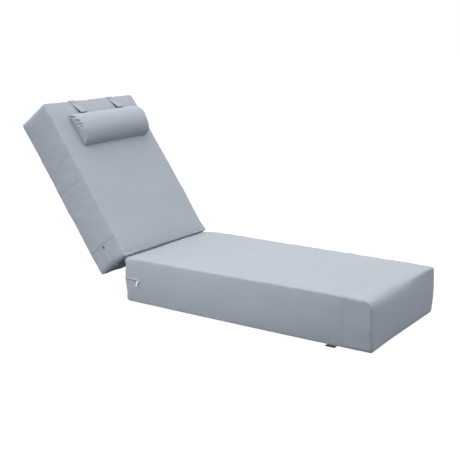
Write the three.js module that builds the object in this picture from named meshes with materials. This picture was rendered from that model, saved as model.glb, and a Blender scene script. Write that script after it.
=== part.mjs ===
// Sun lounger cushion: a boxed seat cushion lying flat, a boxed back cushion raised from its hinge end,
// and a D-section head pillow held on the back by two straps that pass over the head end.
// Millimetres, +Z up. The origin is the centre of the seat's flat underside, +X points to the foot end.
// The near side of the mattress, where the zips end, is at -Y.

import * as THREE from 'three';

// Driving dimensions

const WIDTH = 597;
const SEAT_LENGTH = 1204;
const SEAT_THICKNESS = 203;
const BACK_LENGTH = 798;
const BACK_THICKNESS = 195;
const EDGE_RADIUS = 18;
const RECLINE = THREE.MathUtils.degToRad(55.1);

// Where the back's lying face and hinge end would meet if their edge were sharp, from the seat's end.
const HINGE_AHEAD_OF_SEAT_END = 10.3;
const HINGE_ABOVE_SEAT = 6.8;

// The gap that touching pieces keep, and the clearance of cloth that bends over an edge.
const TOUCH = 0.35;
const EDGE_CLEARANCE = 2.2;

// How far each cover departs from its sharp block.
const SEAT_FORM = {
  crown: 5, // rise of the lying face
  sideDraw: 5, // how far the long sides are drawn in half way along
  footDraw: 3, // how far the foot end is drawn in half way across
  bow: 3, // how far the boxing stands out at mid-height
  overhang: 4, // how far the hinge end's top edge stands out
  overhangFrom: [0.1, 0.85], // from -1 at the underside to 1 on top
  sideTuck: 3, // how far the long sides draw in towards the underside
  tuckHeight: 60,
  spans: [14, 8, 8],
};

const BACK_FORM = {
  frontCrown: 5.5,
  rearCrown: 5.5,
  sideDraw: 2,
  headDraw: 5,
  sideBow: 3,
  headBow: 3,
  spans: [12, 8, 4],
};

const PILLOW = {
  lowEdge: 556, // along the back, from the hinge to the pillow's lower edge
  depth: 167, // along the back
  height: 64,
  nearEnd: -185, // across the back
  farEnd: 230,
  flatEdge: 10, // height of the corner that joins the flat side and the round side
  sag: 8, // how far the round side leans towards the seat
  swell: 0.04, // how much fuller the middle is than the ends
  endBulge: 6,
  panelScales: [0.4, 0.7, 0.88], // rings inside each end panel
  gatherDepth: 2.2,
  gathers: 9, // folds in a full turn, of which only the upper rear ones are gathered
  gatherRise: [60, 110], // degrees round the section where the gathers begin
  gatherFall: [150, 180],
  squareness: 0.4, // exponent of the flat side's corners: smaller is squarer
  ringPoints: 48,
  bodySpans: 10,
};

const STRAP = {
  width: 40,
  thick: 1.5,
  rearReach: 120, // how far each strap runs down the rear face
  sewnFrom: 183, // degrees round the pillow's section where the sewn end starts
  sewnTo: 175,
  sewnSlack: 0.4, // the sewn end stands off the round side by this much more than a touch
};
const STRAPS = [
  { name: 'strap_left', middle: -113 },
  { name: 'strap_right', middle: 134 },
];

const STRIP = { length: 570, thick: 1.2, foldDepth: 18, backLeg: 16, seatLeg: 8 };

const FLAP = { height: 8, topThick: 0.8, lipThick: 2.4, offset: 0.45 };
const SEAT_ZIP = { height: 111, reach: 95, sliderAt: -522 };
const BACK_ZIP = { height: -91, reach: 92 };
const SLIDER = { length: 11, height: 7, thick: 4.5, corner: 2 };
const PULL = { length: 25, width: 6.5, thick: 2, corner: 2, lean: THREE.MathUtils.degToRad(22) };

const TAB = { from: 418, to: 459, outerEdge: 304, thick: 2.5, corner: 1.5 };

const COLOURS = {
  cover: { color: 0xaab2bf, roughness: 0.92, metalness: 0 },
  pale: { color: 0xeef1f4, roughness: 0.5, metalness: 0 },
  dark: { color: 0x24282c, roughness: 0.7, metalness: 0 },
};

// Small helpers

/** Smooth step from 0 at low to 1 at high. */
function ease(value, low, high) {
  return THREE.MathUtils.smoothstep(value, low, high);
}

/** Indexed geometry from a list of points and a list of triangles. */
function geometryFrom(points, triangles) {
  const geometry = new THREE.BufferGeometry();
  const flat = points.flatMap((p) => [p.x, p.y, p.z]);
  geometry.setAttribute('position', new THREE.Float32BufferAttribute(flat, 3));
  geometry.setIndex(triangles.flat());
  geometry.computeVertexNormals();
  return geometry;
}

/** Named mesh with one of the finishes above. */
function piece(name, geometry, finish) {
  const mesh = new THREE.Mesh(geometry, new THREE.MeshStandardMaterial(COLOURS[finish]));
  mesh.name = name;
  return mesh;
}

/**
 * Closed skin over a row of rings that all have the same number of points.
 * Each ring runs clockwise seen along the row, and each end closes on one middle point.
 */
function skinOverRings(rings, startMiddle, endMiddle) {
  const count = rings[0].length;
  const points = rings.flat();
  const triangles = [];
  for (let r = 0; r + 1 < rings.length; r++) {
    for (let i = 0; i < count; i++) {
      const next = (i + 1) % count;
      const a = r * count + i;
      const b = r * count + next;
      triangles.push([a, b, b + count], [a, b + count, a + count]);
    }
  }
  const start = points.push(startMiddle) - 1;
  const end = points.push(endMiddle) - 1;
  const last = (rings.length - 1) * count;
  for (let i = 0; i < count; i++) {
    const next = (i + 1) % count;
    triangles.push([start, next, i], [end, last + i, last + next]);
  }
  return geometryFrom(points, triangles);
}

// Boxed cushions

/** A foam block with rounded edges whose cover is then dressed: crowned, drawn in and bowed. */
class BoxedCushion {
  constructor(length, width, thickness, spans, dress) {
    this.half = new THREE.Vector3(length / 2, width / 2, thickness / 2);
    this.spans = spans;
    this.dress = dress;
  }

  /** Stops along one axis: even on the flat part, closer through the rounded edges. */
  stops(axis) {
    const edgeSteps = 3;
    const flat = this.half.getComponent(axis) - EDGE_RADIUS;
    const spans = this.spans[axis];
    const edge = [];
    for (let i = 1; i <= edgeSteps; i++) {
      edge.push(flat + EDGE_RADIUS * Math.tan((Math.PI / 4) * (i / edgeSteps)));
    }
    const middle = Array.from({ length: spans + 1 }, (_, i) => -flat + (2 * flat * i) / spans);
    return [...edge.map((value) => -value).reverse(), ...middle, ...edge];
  }

  /** Moves a point of the sharp block onto the block with rounded edges. */
  rounded(q) {
    const flat = this.half.clone().subScalar(EDGE_RADIUS);
    const inner = q.clone().clamp(flat.clone().negate(), flat);
    const out = q.clone().sub(inner);
    return inner.add(out.setLength(EDGE_RADIUS));
  }

  /** The dressed cover's point for a point of the sharp block. */
  cover(x, y, z) {
    return this.shifted(this.rounded(new THREE.Vector3(x, y, z)));
  }

  /** A point moved as the dressing moves the cover there. */
  shifted(p) {
    const at = new THREE.Vector3(p.x / this.half.x, p.y / this.half.y, p.z / this.half.z);
    return p.clone().add(this.dress(at));
  }

  /** Closed mesh over the block's six sides, with shared points along its edges. */
  geometry() {
    const stops = [0, 1, 2].map((axis) => this.stops(axis));
    const last = stops.map((list) => list.length - 1);
    const points = [];
    const triangles = [];
    const known = new Map();
    const pointAt = (index) => {
      const key = index.join();
      if (!known.has(key)) {
        known.set(key, points.push(this.cover(...index.map((i, axis) => stops[axis][i]))) - 1);
      }
      return known.get(key);
    };
    for (let axis = 0; axis < 3; axis++) {
      const [u, v] = [(axis + 1) % 3, (axis + 2) % 3];
      for (const side of [0, last[axis]]) {
        for (let i = 0; i < last[u]; i++) {
          for (let j = 0; j < last[v]; j++) {
            const corner = (di, dj) => {
              const index = [0, 0, 0];
              index[axis] = side;
              index[u] = i + di;
              index[v] = j + dj;
              return pointAt(index);
            };
            const [a, b, c, d] = [corner(0, 0), corner(1, 0), corner(1, 1), corner(0, 1)];
            triangles.push(...(side ? [[a, b, c], [a, c, d]] : [[a, c, b], [a, d, c]]));
          }
        }
      }
    }
    return geometryFrom(points, triangles);
  }
}

/** Shift of the seat's cover at a place given from -1 to 1 along each axis. */
function dressSeat(at) {
  const { crown, sideDraw, footDraw, bow, overhang, overhangFrom, sideTuck, tuckHeight } = SEAT_FORM;
  const across = 1 - at.y ** 2;
  const along = 1 - at.x ** 4;
  const belly = 1 - at.z ** 2;
  const low = 1 - ease((at.z + 1) * (SEAT_THICKNESS / 2), 0, tuckHeight);
  const foot = Math.max(at.x, 0);
  const hinge = Math.max(-at.x, 0);
  return new THREE.Vector3(
    foot ** 3 * (bow * belly - footDraw) * across
      - hinge ** 8 * overhang * ease(at.z, ...overhangFrom),
    at.y ** 3 * (bow * belly * along - sideTuck * low) - at.y * sideDraw * (1 - at.x ** 2),
    crown * across * along * Math.max(at.z, 0) ** 2,
  );
}

/** Shift of the back's cover. Its own frame has +X towards the hinge and +Z out of the lying face. */
function dressBack(at) {
  const { frontCrown, rearCrown, sideDraw, headDraw, sideBow, headBow } = BACK_FORM;
  const across = 1 - at.y ** 2;
  const along = 1 - at.x ** 4;
  const belly = 1 - at.z ** 2;
  const head = Math.max(-at.x, 0);
  const crown = at.z > 0 ? frontCrown : rearCrown;
  return new THREE.Vector3(
    head ** 3 * (headDraw - headBow * belly) * across,
    at.y ** 3 * sideBow * belly * along - at.y * sideDraw * (1 - at.x ** 2),
    Math.sign(at.z) * at.z ** 2 * crown * across * along,
  );
}

const seat = new BoxedCushion(SEAT_LENGTH, WIDTH, SEAT_THICKNESS, SEAT_FORM.spans, dressSeat);
const back = new BoxedCushion(BACK_LENGTH, WIDTH, BACK_THICKNESS, BACK_FORM.spans, dressBack);

/** Group whose frame is the seat block's middle. */
const seatGroup = new THREE.Group();
seatGroup.position.z = SEAT_THICKNESS / 2;

/** Group at the hinge, turned by the recline: +X runs from the back to the seat, +Z out of the lying face. */
const hingeGroup = new THREE.Group();
hingeGroup.position.set(-SEAT_LENGTH / 2 + HINGE_AHEAD_OF_SEAT_END, 0, SEAT_THICKNESS + HINGE_ABOVE_SEAT);
hingeGroup.rotation.y = RECLINE;

/** Group whose frame is the back block's middle. */
const backGroup = new THREE.Group();
backGroup.position.set(-BACK_LENGTH / 2, 0, -BACK_THICKNESS / 2);
hingeGroup.add(backGroup);

seatGroup.add(piece('seat_cushion', seat.geometry(), 'cover'));
backGroup.add(piece('back_cushion', back.geometry(), 'cover'));

/** The back's own X for a distance along the back from the hinge. */
function alongBack(distance) {
  return back.half.x - distance;
}

/** Height of the lying face's cover above the block's middle, at a place on the back. */
function lyingFace(x, y) {
  return back.shifted(new THREE.Vector3(x, y, back.half.z)).z;
}

// Head pillow

/** Section of the pillow at an angle in degrees: 0 at the lower edge, 90 on top, 180 at the upper edge. */
function pillowSection(angle) {
  const turn = THREE.MathUtils.degToRad(angle);
  const [c, s] = [Math.cos(turn), Math.sin(turn)];
  const halfDepth = PILLOW.depth / 2;
  const middle = PILLOW.lowEdge + halfDepth;
  if (s >= 0) {
    return {
      distance: middle - halfDepth * c - PILLOW.sag * s * s,
      height: PILLOW.flatEdge + (PILLOW.height - PILLOW.flatEdge) * s,
    };
  }
  const squared = (value) => Math.sign(value) * Math.abs(value) ** PILLOW.squareness;
  return {
    distance: middle - halfDepth * squared(c),
    height: PILLOW.flatEdge * (1 + squared(s)),
  };
}

/** Point of the pillow at an angle round its section, scaled about its middle, at a place across. */
function pillowPoint(angle, scale, y, outwards = 0) {
  const { distance, height } = pillowSection(angle);
  const middle = { distance: PILLOW.lowEdge + PILLOW.depth / 2, height: PILLOW.height / 2 };
  const fullness = (y - PILLOW.nearEnd) / (PILLOW.farEnd - PILLOW.nearEnd);
  const swell = 1 + PILLOW.swell * 4 * fullness * (1 - fullness);
  const x = alongBack(middle.distance + (distance - middle.distance) * scale);
  const z = (middle.height + (height - middle.height) * scale) * (scale === 1 ? swell : 1);
  return new THREE.Vector3(x, y + outwards, lyingFace(x, y) + TOUCH + z);
}

/** Ring of the pillow's skin. Rings inside an end panel are smaller, and stand out and gather. */
function pillowRing(y, scale, side) {
  const ring = [];
  for (let i = 0; i < PILLOW.ringPoints; i++) {
    const angle = 360 - (360 * i) / PILLOW.ringPoints;
    const where = ease(angle, ...PILLOW.gatherRise) * (1 - ease(angle, ...PILLOW.gatherFall));
    const wave = Math.sin(THREE.MathUtils.degToRad(angle) * PILLOW.gathers);
    const gathered = scale < 1 ? PILLOW.gatherDepth * where * scale * wave : 0;
    const out = PILLOW.endBulge * (1 - scale ** 2) + gathered;
    ring.push(pillowPoint(angle, scale, y, side * out));
  }
  return ring;
}

/** Closed skin of the pillow: end panel, body, end panel. */
function pillowGeometry() {
  const { nearEnd, farEnd, bodySpans, endBulge, panelScales } = PILLOW;
  const rings = [
    ...panelScales.map((scale) => pillowRing(nearEnd, scale, -1)),
    ...Array.from({ length: bodySpans + 1 }, (_, i) =>
      pillowRing(nearEnd + ((farEnd - nearEnd) * i) / bodySpans, 1, 0)),
    ...panelScales.toReversed().map((scale) => pillowRing(farEnd, scale, 1)),
  ];
  return skinOverRings(rings, pillowPoint(90, 0, nearEnd, -endBulge), pillowPoint(90, 0, farEnd, endBulge));
}

backGroup.add(piece('head_pillow', pillowGeometry(), 'cover'));

// Strips of cloth

/** Middle of a strip's four-sided ring. */
function middleOf(ring) {
  return ring[0].clone().add(ring[2]).multiplyScalar(0.5);
}

/** Cloth strip: a path in the XZ plane, given its thickness and its reach across. */
function clothStrip(path, thick, fromY, toY) {
  const sides = path.map((p, i) => {
    const before = path[Math.max(i - 1, 0)];
    const after = path[Math.min(i + 1, path.length - 1)];
    const along = after.clone().sub(before).normalize();
    return new THREE.Vector2(-along.y, along.x).multiplyScalar(thick / 2);
  });
  const rings = path.map((p, i) => {
    const [a, b] = [p.clone().add(sides[i]), p.clone().sub(sides[i])];
    return [
      new THREE.Vector3(a.x, fromY, a.y),
      new THREE.Vector3(b.x, fromY, b.y),
      new THREE.Vector3(b.x, toY, b.y),
      new THREE.Vector3(a.x, toY, a.y),
    ];
  });
  return skinOverRings(rings, middleOf(rings[0]), middleOf(rings.at(-1)));
}

/** Point of a circle in the XZ plane. */
function onCircle(centre, radius, angle) {
  return new THREE.Vector2(Math.cos(angle), Math.sin(angle)).multiplyScalar(radius).add(centre);
}

/** Points of an arc in the XZ plane, both ends included. */
function arc(centre, radius, fromAngle, toAngle, steps) {
  return Array.from({ length: steps + 1 }, (_, i) =>
    onCircle(centre, radius, fromAngle + ((toAngle - fromAngle) * i) / steps));
}

/** Middle line of a strap: up the pillow's rear, across to the head end, over it and down the rear face. */
function strapPath(y) {
  const { thick, rearReach, sewnFrom, sewnTo, sewnSlack } = STRAP;
  const lift = TOUCH + thick / 2;
  const sewn = [sewnFrom, (sewnFrom + sewnTo) / 2, sewnTo].map((angle) => {
    const p = pillowPoint(angle, 1, y);
    return new THREE.Vector2(p.x - lift - sewnSlack, p.z);
  });
  const flat = back.half.clone().subScalar(EDGE_RADIUS);
  const edgeCentre = (side) => {
    const centre = back.shifted(new THREE.Vector3(-flat.x, y, side * flat.z));
    return new THREE.Vector2(centre.x, centre.z);
  };
  const radius = EDGE_RADIUS + EDGE_CLEARANCE + thick / 2;
  const [front, rear] = [edgeCentre(1), edgeCentre(-1)];
  const leave = sewn.at(-1).clone().sub(front);
  const tangent = leave.angle() + Math.acos(radius / leave.length());
  const headEnd = back.cover(-back.half.x, y, 0);
  const tailX = -back.half.x + rearReach;
  const tailFace = back.cover(tailX, y, -back.half.z).z;
  const tail = new THREE.Vector2(tailX, tailFace - lift);
  const reach = tail.clone().sub(rear);
  const rearTangent = reach.angle() - Math.acos(radius / reach.length());
  const steps = 5;
  return [
    ...sewn,
    ...arc(front, radius, tangent, Math.PI, steps),
    new THREE.Vector2(headEnd.x - lift, 0),
    ...arc(rear, radius, Math.PI, rearTangent, steps),
    tail,
  ];
}

for (const { name, middle } of STRAPS) {
  const halfWidth = STRAP.width / 2;
  const strap = clothStrip(strapPath(middle), STRAP.thick, middle - halfWidth, middle + halfWidth);
  backGroup.add(piece(name, strap, 'cover'));
}

/**
 * Middle line of the hinge strip, folded in the crease: up the back's hinge end, round its fold, and down the
 * seat's rounded top edge and hinge end. In the hinge frame, +X runs out of the back's hinge end.
 */
function hingeStripPath() {
  const { thick, foldDepth, backLeg, seatLeg } = STRIP;
  const lift = TOUCH + thick / 2;
  const seatEdge = new THREE.Vector2(
    -SEAT_LENGTH / 2 - SEAT_FORM.overhang + EDGE_RADIUS,
    SEAT_THICKNESS - EDGE_RADIUS,
  );
  const hinge = new THREE.Vector2(hingeGroup.position.x, hingeGroup.position.z);
  const toHinge = (p) => p.clone().sub(hinge).rotateAround(new THREE.Vector2(), RECLINE);
  const centre = toHinge(seatEdge);
  const hug = EDGE_RADIUS + lift;
  // The fold's circle touches the leg on the back and the curve that hugs the seat's edge.
  const rise = -foldDepth - centre.y;
  const run = centre.x - lift;
  const fold = (run ** 2 + rise ** 2 - hug ** 2) / (2 * (run + hug));
  const foldCentre = new THREE.Vector2(lift + fold, -foldDepth);
  const meet = foldCentre.clone().sub(centre).angle();
  const wallAngle = Math.PI + RECLINE;
  const wallTop = onCircle(centre, hug, wallAngle);
  const down = new THREE.Vector2(0, -seatLeg).rotateAround(new THREE.Vector2(), RECLINE);
  return [
    new THREE.Vector2(lift, -foldDepth - backLeg),
    ...arc(foldCentre, fold, Math.PI, meet - Math.PI, 10),
    ...arc(centre, hug, meet, wallAngle, 6).slice(1),
    wallTop.clone().add(down),
  ];
}

const stripHalf = STRIP.length / 2;
const strip = clothStrip(hingeStripPath(), STRIP.thick, -stripHalf, stripHalf);
hingeGroup.add(piece('hinge_strip', strip, 'cover'));

// Zips

/** Places round one end of a cushion in plan, from one long side to the other, with the way out there. */
function roundTheEnd(cushion, endSign, reach) {
  const { x: halfX, y: halfY } = cushion.half;
  const places = [];
  const add = (x, y, outX, outY) => places.push({ x, y, out: new THREE.Vector3(outX, outY, 0).normalize() });
  const flatX = halfX - EDGE_RADIUS;
  const flatY = halfY - EDGE_RADIUS;
  const sideSteps = 3;
  const cornerSteps = 6;
  const endSteps = 8;
  for (let i = 0; i < sideSteps; i++) {
    add(endSign * (halfX - reach + ((reach - EDGE_RADIUS) * i) / sideSteps), -halfY, 0, -1);
  }
  const corner = (side, i) => {
    const angle = (Math.PI / 2) * (i / cornerSteps);
    const [c, s] = [Math.cos(angle), Math.sin(angle)];
    const scale = EDGE_RADIUS / Math.max(c, s);
    add(endSign * (flatX + scale * s), side * (flatY + scale * c), endSign * s, side * c);
  };
  for (let i = 0; i <= cornerSteps; i++) corner(-1, i);
  for (let i = 1; i < endSteps; i++) add(endSign * halfX, -flatY + (2 * flatY * i) / endSteps, endSign, 0);
  for (let i = cornerSteps; i >= 0; i--) corner(1, i);
  for (let i = sideSteps - 1; i >= 0; i--) {
    add(endSign * (halfX - reach + ((reach - EDGE_RADIUS) * i) / sideSteps), halfY, 0, 1);
  }
  return places;
}

/** Raised flap over a zip: a wedge of cloth round one end of a cushion, whose lower lip stands proud. */
function zipFlap(cushion, endSign, reach, middleZ) {
  const { height, topThick, lipThick, offset } = FLAP;
  const corners = [
    { rise: height / 2, out: offset },
    { rise: height / 2, out: offset + topThick },
    { rise: -height / 2, out: offset + lipThick },
    { rise: -height / 2, out: offset },
  ];
  const rings = roundTheEnd(cushion, endSign, reach).map((place) => {
    const ring = corners.map(({ rise, out }) =>
      cushion.cover(place.x, place.y, middleZ + rise).addScaledVector(place.out, out));
    return endSign > 0 ? ring : ring.reverse();
  });
  return skinOverRings(rings, middleOf(rings[0]), middleOf(rings.at(-1)));
}

const seatZipZ = SEAT_ZIP.height - SEAT_THICKNESS / 2;
const backZipZ = BACK_ZIP.height + BACK_THICKNESS / 2;
seatGroup.add(piece('seat_zip_flap', zipFlap(seat, -1, SEAT_ZIP.reach, seatZipZ), 'cover'));
backGroup.add(piece('back_zip_flap', zipFlap(back, 1, BACK_ZIP.reach, backZipZ), 'cover'));

/** Small plate with rounded corners, lying in the XZ plane, its thickness along Y. */
function smallPlate(length, height, thick, corner) {
  const [a, b] = [length / 2, height / 2];
  const shape = new THREE.Shape();
  shape.absarc(a - corner, b - corner, corner, 0, Math.PI / 2);
  shape.absarc(-a + corner, b - corner, corner, Math.PI / 2, Math.PI);
  shape.absarc(-a + corner, -b + corner, corner, Math.PI, 1.5 * Math.PI);
  shape.absarc(a - corner, -b + corner, corner, 1.5 * Math.PI, 2 * Math.PI);
  const geometry = new THREE.ExtrudeGeometry(shape, { depth: thick, bevelEnabled: false, curveSegments: 4 });
  return geometry.translate(0, 0, -thick / 2).rotateX(Math.PI / 2);
}

/** Slider just under a flap's lip, on the near side of a cushion. */
function zipSlider(name, cushion, x, middleZ, finish) {
  const z = middleZ - FLAP.height / 2 - TOUCH - SLIDER.height / 2;
  const slider = piece(name, smallPlate(SLIDER.length, SLIDER.height, SLIDER.thick, SLIDER.corner), finish);
  const wall = cushion.cover(x, -cushion.half.y, z).y;
  slider.position.set(x, wall - FLAP.offset - SLIDER.thick / 2, z);
  return slider;
}

const seatSlider = zipSlider('seat_zip_slider', seat, SEAT_ZIP.sliderAt, seatZipZ, 'pale');
seatGroup.add(seatSlider);
backGroup.add(zipSlider('back_zip_slider', back, alongBack(BACK_ZIP.reach), backZipZ, 'dark'));

/** Pull hanging in front of the seat's slider, leaning towards the hinge end. */
const pull = piece('seat_zip_pull', smallPlate(PULL.length, PULL.width, PULL.thick, PULL.corner), 'pale');
const pullHang = PULL.length / 2 - PULL.width / 2;
pull.position.set(
  seatSlider.position.x - pullHang * Math.sin(PULL.lean),
  seatSlider.position.y - SLIDER.thick / 2 - TOUCH - PULL.thick / 2,
  seatSlider.position.z - pullHang * Math.cos(PULL.lean),
);
pull.rotation.y = Math.PI / 2 + PULL.lean;
seatGroup.add(pull);

// Webbing end under the seat's near edge

/** Flat end of webbing that lies on the floor and meets the seat's rounded bottom edge. */
function fixingTab() {
  const middleX = (TAB.from + TAB.to) / 2;
  // The place on the rounded edge that stands as high as the webbing is thick.
  const turn = Math.acos(1 - TAB.thick / EDGE_RADIUS);
  const sharpY = -seat.half.y + EDGE_RADIUS * (1 - Math.tan(turn));
  const innerEdge = seat.cover(middleX, sharpY, -seat.half.z).y - TOUCH / Math.sin(turn);
  const depth = TAB.outerEdge + innerEdge;
  const tab = piece('fixing_tab', smallPlate(TAB.to - TAB.from, depth, TAB.thick, TAB.corner), 'dark');
  tab.rotation.x = -Math.PI / 2;
  tab.position.set(middleX, innerEdge - depth / 2, TAB.thick / 2);
  return tab;
}

const cushion = new THREE.Group();
cushion.add(seatGroup, hingeGroup, fixingTab());

export default cushion;
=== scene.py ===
"""Looks of a sun lounger cushion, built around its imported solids.

Metres, +Z up. The seat cushion's flat underside lies on the floor. The back cushion is raised from the
seat's hinge end, and the head pillow hangs on it by two straps. Zips end on the near side, at -Y.
"""

import logging
import math
from collections.abc import Iterable, Sequence
from dataclasses import dataclass, field
from enum import Enum

import bpy
import numpy as np
from mathutils import Matrix, Vector
from mathutils.bvhtree import BVHTree


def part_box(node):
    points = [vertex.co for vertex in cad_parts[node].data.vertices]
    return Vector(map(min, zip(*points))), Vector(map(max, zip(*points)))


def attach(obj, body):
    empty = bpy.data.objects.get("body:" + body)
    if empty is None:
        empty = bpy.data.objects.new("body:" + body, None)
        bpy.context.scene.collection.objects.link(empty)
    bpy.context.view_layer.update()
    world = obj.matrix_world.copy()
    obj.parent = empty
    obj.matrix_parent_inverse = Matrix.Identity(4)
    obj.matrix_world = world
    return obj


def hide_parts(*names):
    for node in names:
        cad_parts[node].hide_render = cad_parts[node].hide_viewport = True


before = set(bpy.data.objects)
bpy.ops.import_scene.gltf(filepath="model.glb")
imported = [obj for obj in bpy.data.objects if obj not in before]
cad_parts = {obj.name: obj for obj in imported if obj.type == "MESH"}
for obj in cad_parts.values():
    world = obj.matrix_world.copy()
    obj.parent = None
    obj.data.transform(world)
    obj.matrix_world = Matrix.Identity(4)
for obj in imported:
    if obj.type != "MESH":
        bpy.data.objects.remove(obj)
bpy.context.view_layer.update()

log = logging.getLogger("sun_lounger_cushion")

Array = np.ndarray
MM = 0.001
TOUCH = 0.35 * MM
RECLINE = math.radians(55.1)
CLOTH_MAP = "cloth"
# Attribute of painted shade: it darkens the colour in seams, creases and under the pillow, by this much at
# its value of 1.
SHADE = "painted_shade"
SHADE_DEPTH = 0.22


class Slot(Enum):
    """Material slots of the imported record."""

    COVER = "cover"
    PULL = "zip_pull"
    SLIDER = "dark_slider"
    WEBBING = "webbing"


# Small helpers


def ease(value: Array | float, low: float, high: float) -> Array:
    """Smooth step from 0 at low to 1 at high, for one value or an array."""
    t = np.clip((np.asarray(value, float) - low) / (high - low), 0.0, 1.0)
    return t * t * (3 - 2 * t)


def bump(value: Array | float, width: float) -> Array:
    """Bell curve of height 1 round 0, with the given half width."""
    return np.exp(-((np.asarray(value, float) / width) ** 2))


def unit(rows: Array) -> Array:
    """Each row at length 1."""
    return rows / np.maximum(np.linalg.norm(rows, axis=-1, keepdims=True), 1e-12)


def moved(points: Array, matrix: Matrix) -> Array:
    """Points of shape (n, 3) carried by a matrix."""
    m = np.array(matrix)
    return points @ m[:3, :3].T + m[:3, 3]


class Ripples:
    """Smooth seeded variation over places, made of plane waves. Its values mostly lie from -1 to 1."""

    def __init__(self, seed: int, wavelength: float, waves: int = 20) -> None:
        """Draws the waves.

        Args:
            seed: start of the random draws.
            wavelength: middle length of the waves, in metres.
            waves: how many are added.
        """
        rng = np.random.default_rng(seed)
        self.ways = unit(rng.normal(size=(waves, 3))) * (2 * math.pi / wavelength)
        self.ways *= rng.uniform(0.65, 1.5, (waves, 1))
        self.phases = rng.uniform(0, 2 * math.pi, waves)

    def at(self, places: Array) -> Array:
        """Values at places of shape (n, 3)."""
        waves = np.sin(places @ self.ways.T + self.phases)
        return waves.sum(1) / math.sqrt(2 * len(self.phases))


def coordinates(mesh: bpy.types.Mesh) -> Array:
    """Vertex places of a mesh, of shape (n, 3)."""
    flat = np.empty(len(mesh.vertices) * 3, np.float32)
    mesh.vertices.foreach_get("co", flat)
    return flat.reshape(-1, 3).astype(float)


def place_vertices(mesh: bpy.types.Mesh, points: Array) -> None:
    """Writes vertex places of shape (n, 3) into a mesh."""
    mesh.vertices.foreach_set("co", points.astype(np.float32).ravel())
    mesh.update()


def vertex_normals(mesh: bpy.types.Mesh) -> Array:
    """Vertex normals of a mesh, of shape (n, 3)."""
    flat = np.empty(len(mesh.vertices) * 3, np.float32)
    mesh.vertex_normals.foreach_get("vector", flat)
    return flat.reshape(-1, 3).astype(float)


def read_places(mesh: bpy.types.Mesh, name: str) -> Array:
    """A vector attribute of a mesh's vertices, of shape (n, 3)."""
    flat = np.empty(len(mesh.vertices) * 3, np.float32)
    mesh.attributes[name].data.foreach_get("vector", flat)
    return flat.reshape(-1, 3).astype(float)


def write_values(mesh: bpy.types.Mesh, name: str, values: Array) -> None:
    """Stores one value per vertex as a named attribute."""
    attribute = mesh.attributes.get(name) or mesh.attributes.new(name, "FLOAT", "POINT")
    attribute.data.foreach_set("value", np.asarray(values, np.float32).ravel())


def write_vectors(mesh: bpy.types.Mesh, name: str, vectors: Array) -> None:
    """Stores one vector per vertex as a named attribute."""
    attribute = mesh.attributes.new(name, "FLOAT_VECTOR", "POINT")
    attribute.data.foreach_set("vector", vectors.astype(np.float32).ravel())


def new_piece(
    name: str, points: Array, faces: Sequence[Sequence[int]], maps: Array | None = None
) -> bpy.types.Object:
    """Mesh object in the scene, smooth, with an optional cloth map.

    Args:
        name: the piece's name.
        points: vertex places of shape (n, 3).
        faces: vertex numbers of each face.
        maps: cloth map of shape (loops, 2), in metres.

    Returns:
        The new object.
    """
    mesh = bpy.data.meshes.new(name)
    mesh.from_pydata(points.tolist(), [], [list(map(int, face)) for face in faces])
    if maps is not None:
        layer = mesh.uv_layers.new(name=CLOTH_MAP)
        layer.uv.foreach_set("vector", np.asarray(maps, np.float32).ravel())
    mesh.update()
    mesh.shade_smooth()
    piece = bpy.data.objects.new(name, mesh)
    bpy.context.scene.collection.objects.link(piece)
    return piece


def settle(piece: bpy.types.Object) -> None:
    """Turns a piece's live modifiers into its plain mesh."""
    graph = bpy.context.evaluated_depsgraph_get()
    graph.update()
    mesh = bpy.data.meshes.new_from_object(
        piece.evaluated_get(graph), preserve_all_data_layers=True, depsgraph=graph
    )
    old = piece.data
    piece.modifiers.clear()
    piece.data = mesh
    bpy.data.meshes.remove(old)
    mesh.name = piece.name


def refine(piece: bpy.types.Object, levels: int) -> None:
    """Subdivides a piece smoothly and keeps the result as its mesh."""
    modifier = piece.modifiers.new("finer", "SUBSURF")
    modifier.levels = modifier.render_levels = levels
    settle(piece)


def thicken(piece: bpy.types.Object, thickness: float) -> None:
    """Gives a sheet its thickness, half to each side."""
    modifier = piece.modifiers.new("thickness", "SOLIDIFY")
    modifier.thickness = thickness
    modifier.offset = 0.0
    modifier.use_even_offset = True
    modifier.use_quality_normals = True
    settle(piece)


def dress(piece: bpy.types.Object, material: bpy.types.Material) -> None:
    """Gives a piece its only material."""
    piece.data.materials.clear()
    piece.data.materials.append(material)


def strip_piece(name: str, rows: Array, along: Array, across: Array) -> bpy.types.Object:
    """Sheet of quads over rows of points.

    Args:
        name: the piece's name.
        rows: places of shape (rows, columns, 3).
        along: the cloth map's value of each row, in metres.
        across: the cloth map's value of each column, in metres.

    Returns:
        The new object.
    """
    count, wide, _ = rows.shape
    ids = np.arange(count * wide).reshape(count, wide)
    faces = np.stack([ids[:-1, :-1], ids[:-1, 1:], ids[1:, 1:], ids[1:, :-1]], -1).reshape(-1, 4)
    flat = np.stack(np.meshgrid(along, across, indexing="ij"), -1).reshape(-1, 2)
    return new_piece(name, rows.reshape(-1, 3), faces, flat[faces.ravel()])


def lengths_along(points: Array) -> Array:
    """Distance of each point from the first, along the row of points."""
    steps = np.linalg.norm(np.diff(points, axis=0), axis=1)
    return np.concatenate([[0.0], np.cumsum(steps)])


def evenly(points: Array, step: float) -> Array:
    """Row of points at even steps along another row, first and last kept."""
    reach = lengths_along(points)
    stops = np.linspace(0, reach[-1], max(2, round(reach[-1] / step) + 1))
    return np.stack([np.interp(stops, reach, column) for column in points.T], 1)


def edge_steps(edge: float, count: int = 6) -> Array:
    """Offsets on the sharp block for even steps through half of a rounded edge, from 0 to its radius."""
    return edge * np.tan(np.pi / 4 * np.arange(count + 1) / count)


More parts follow.
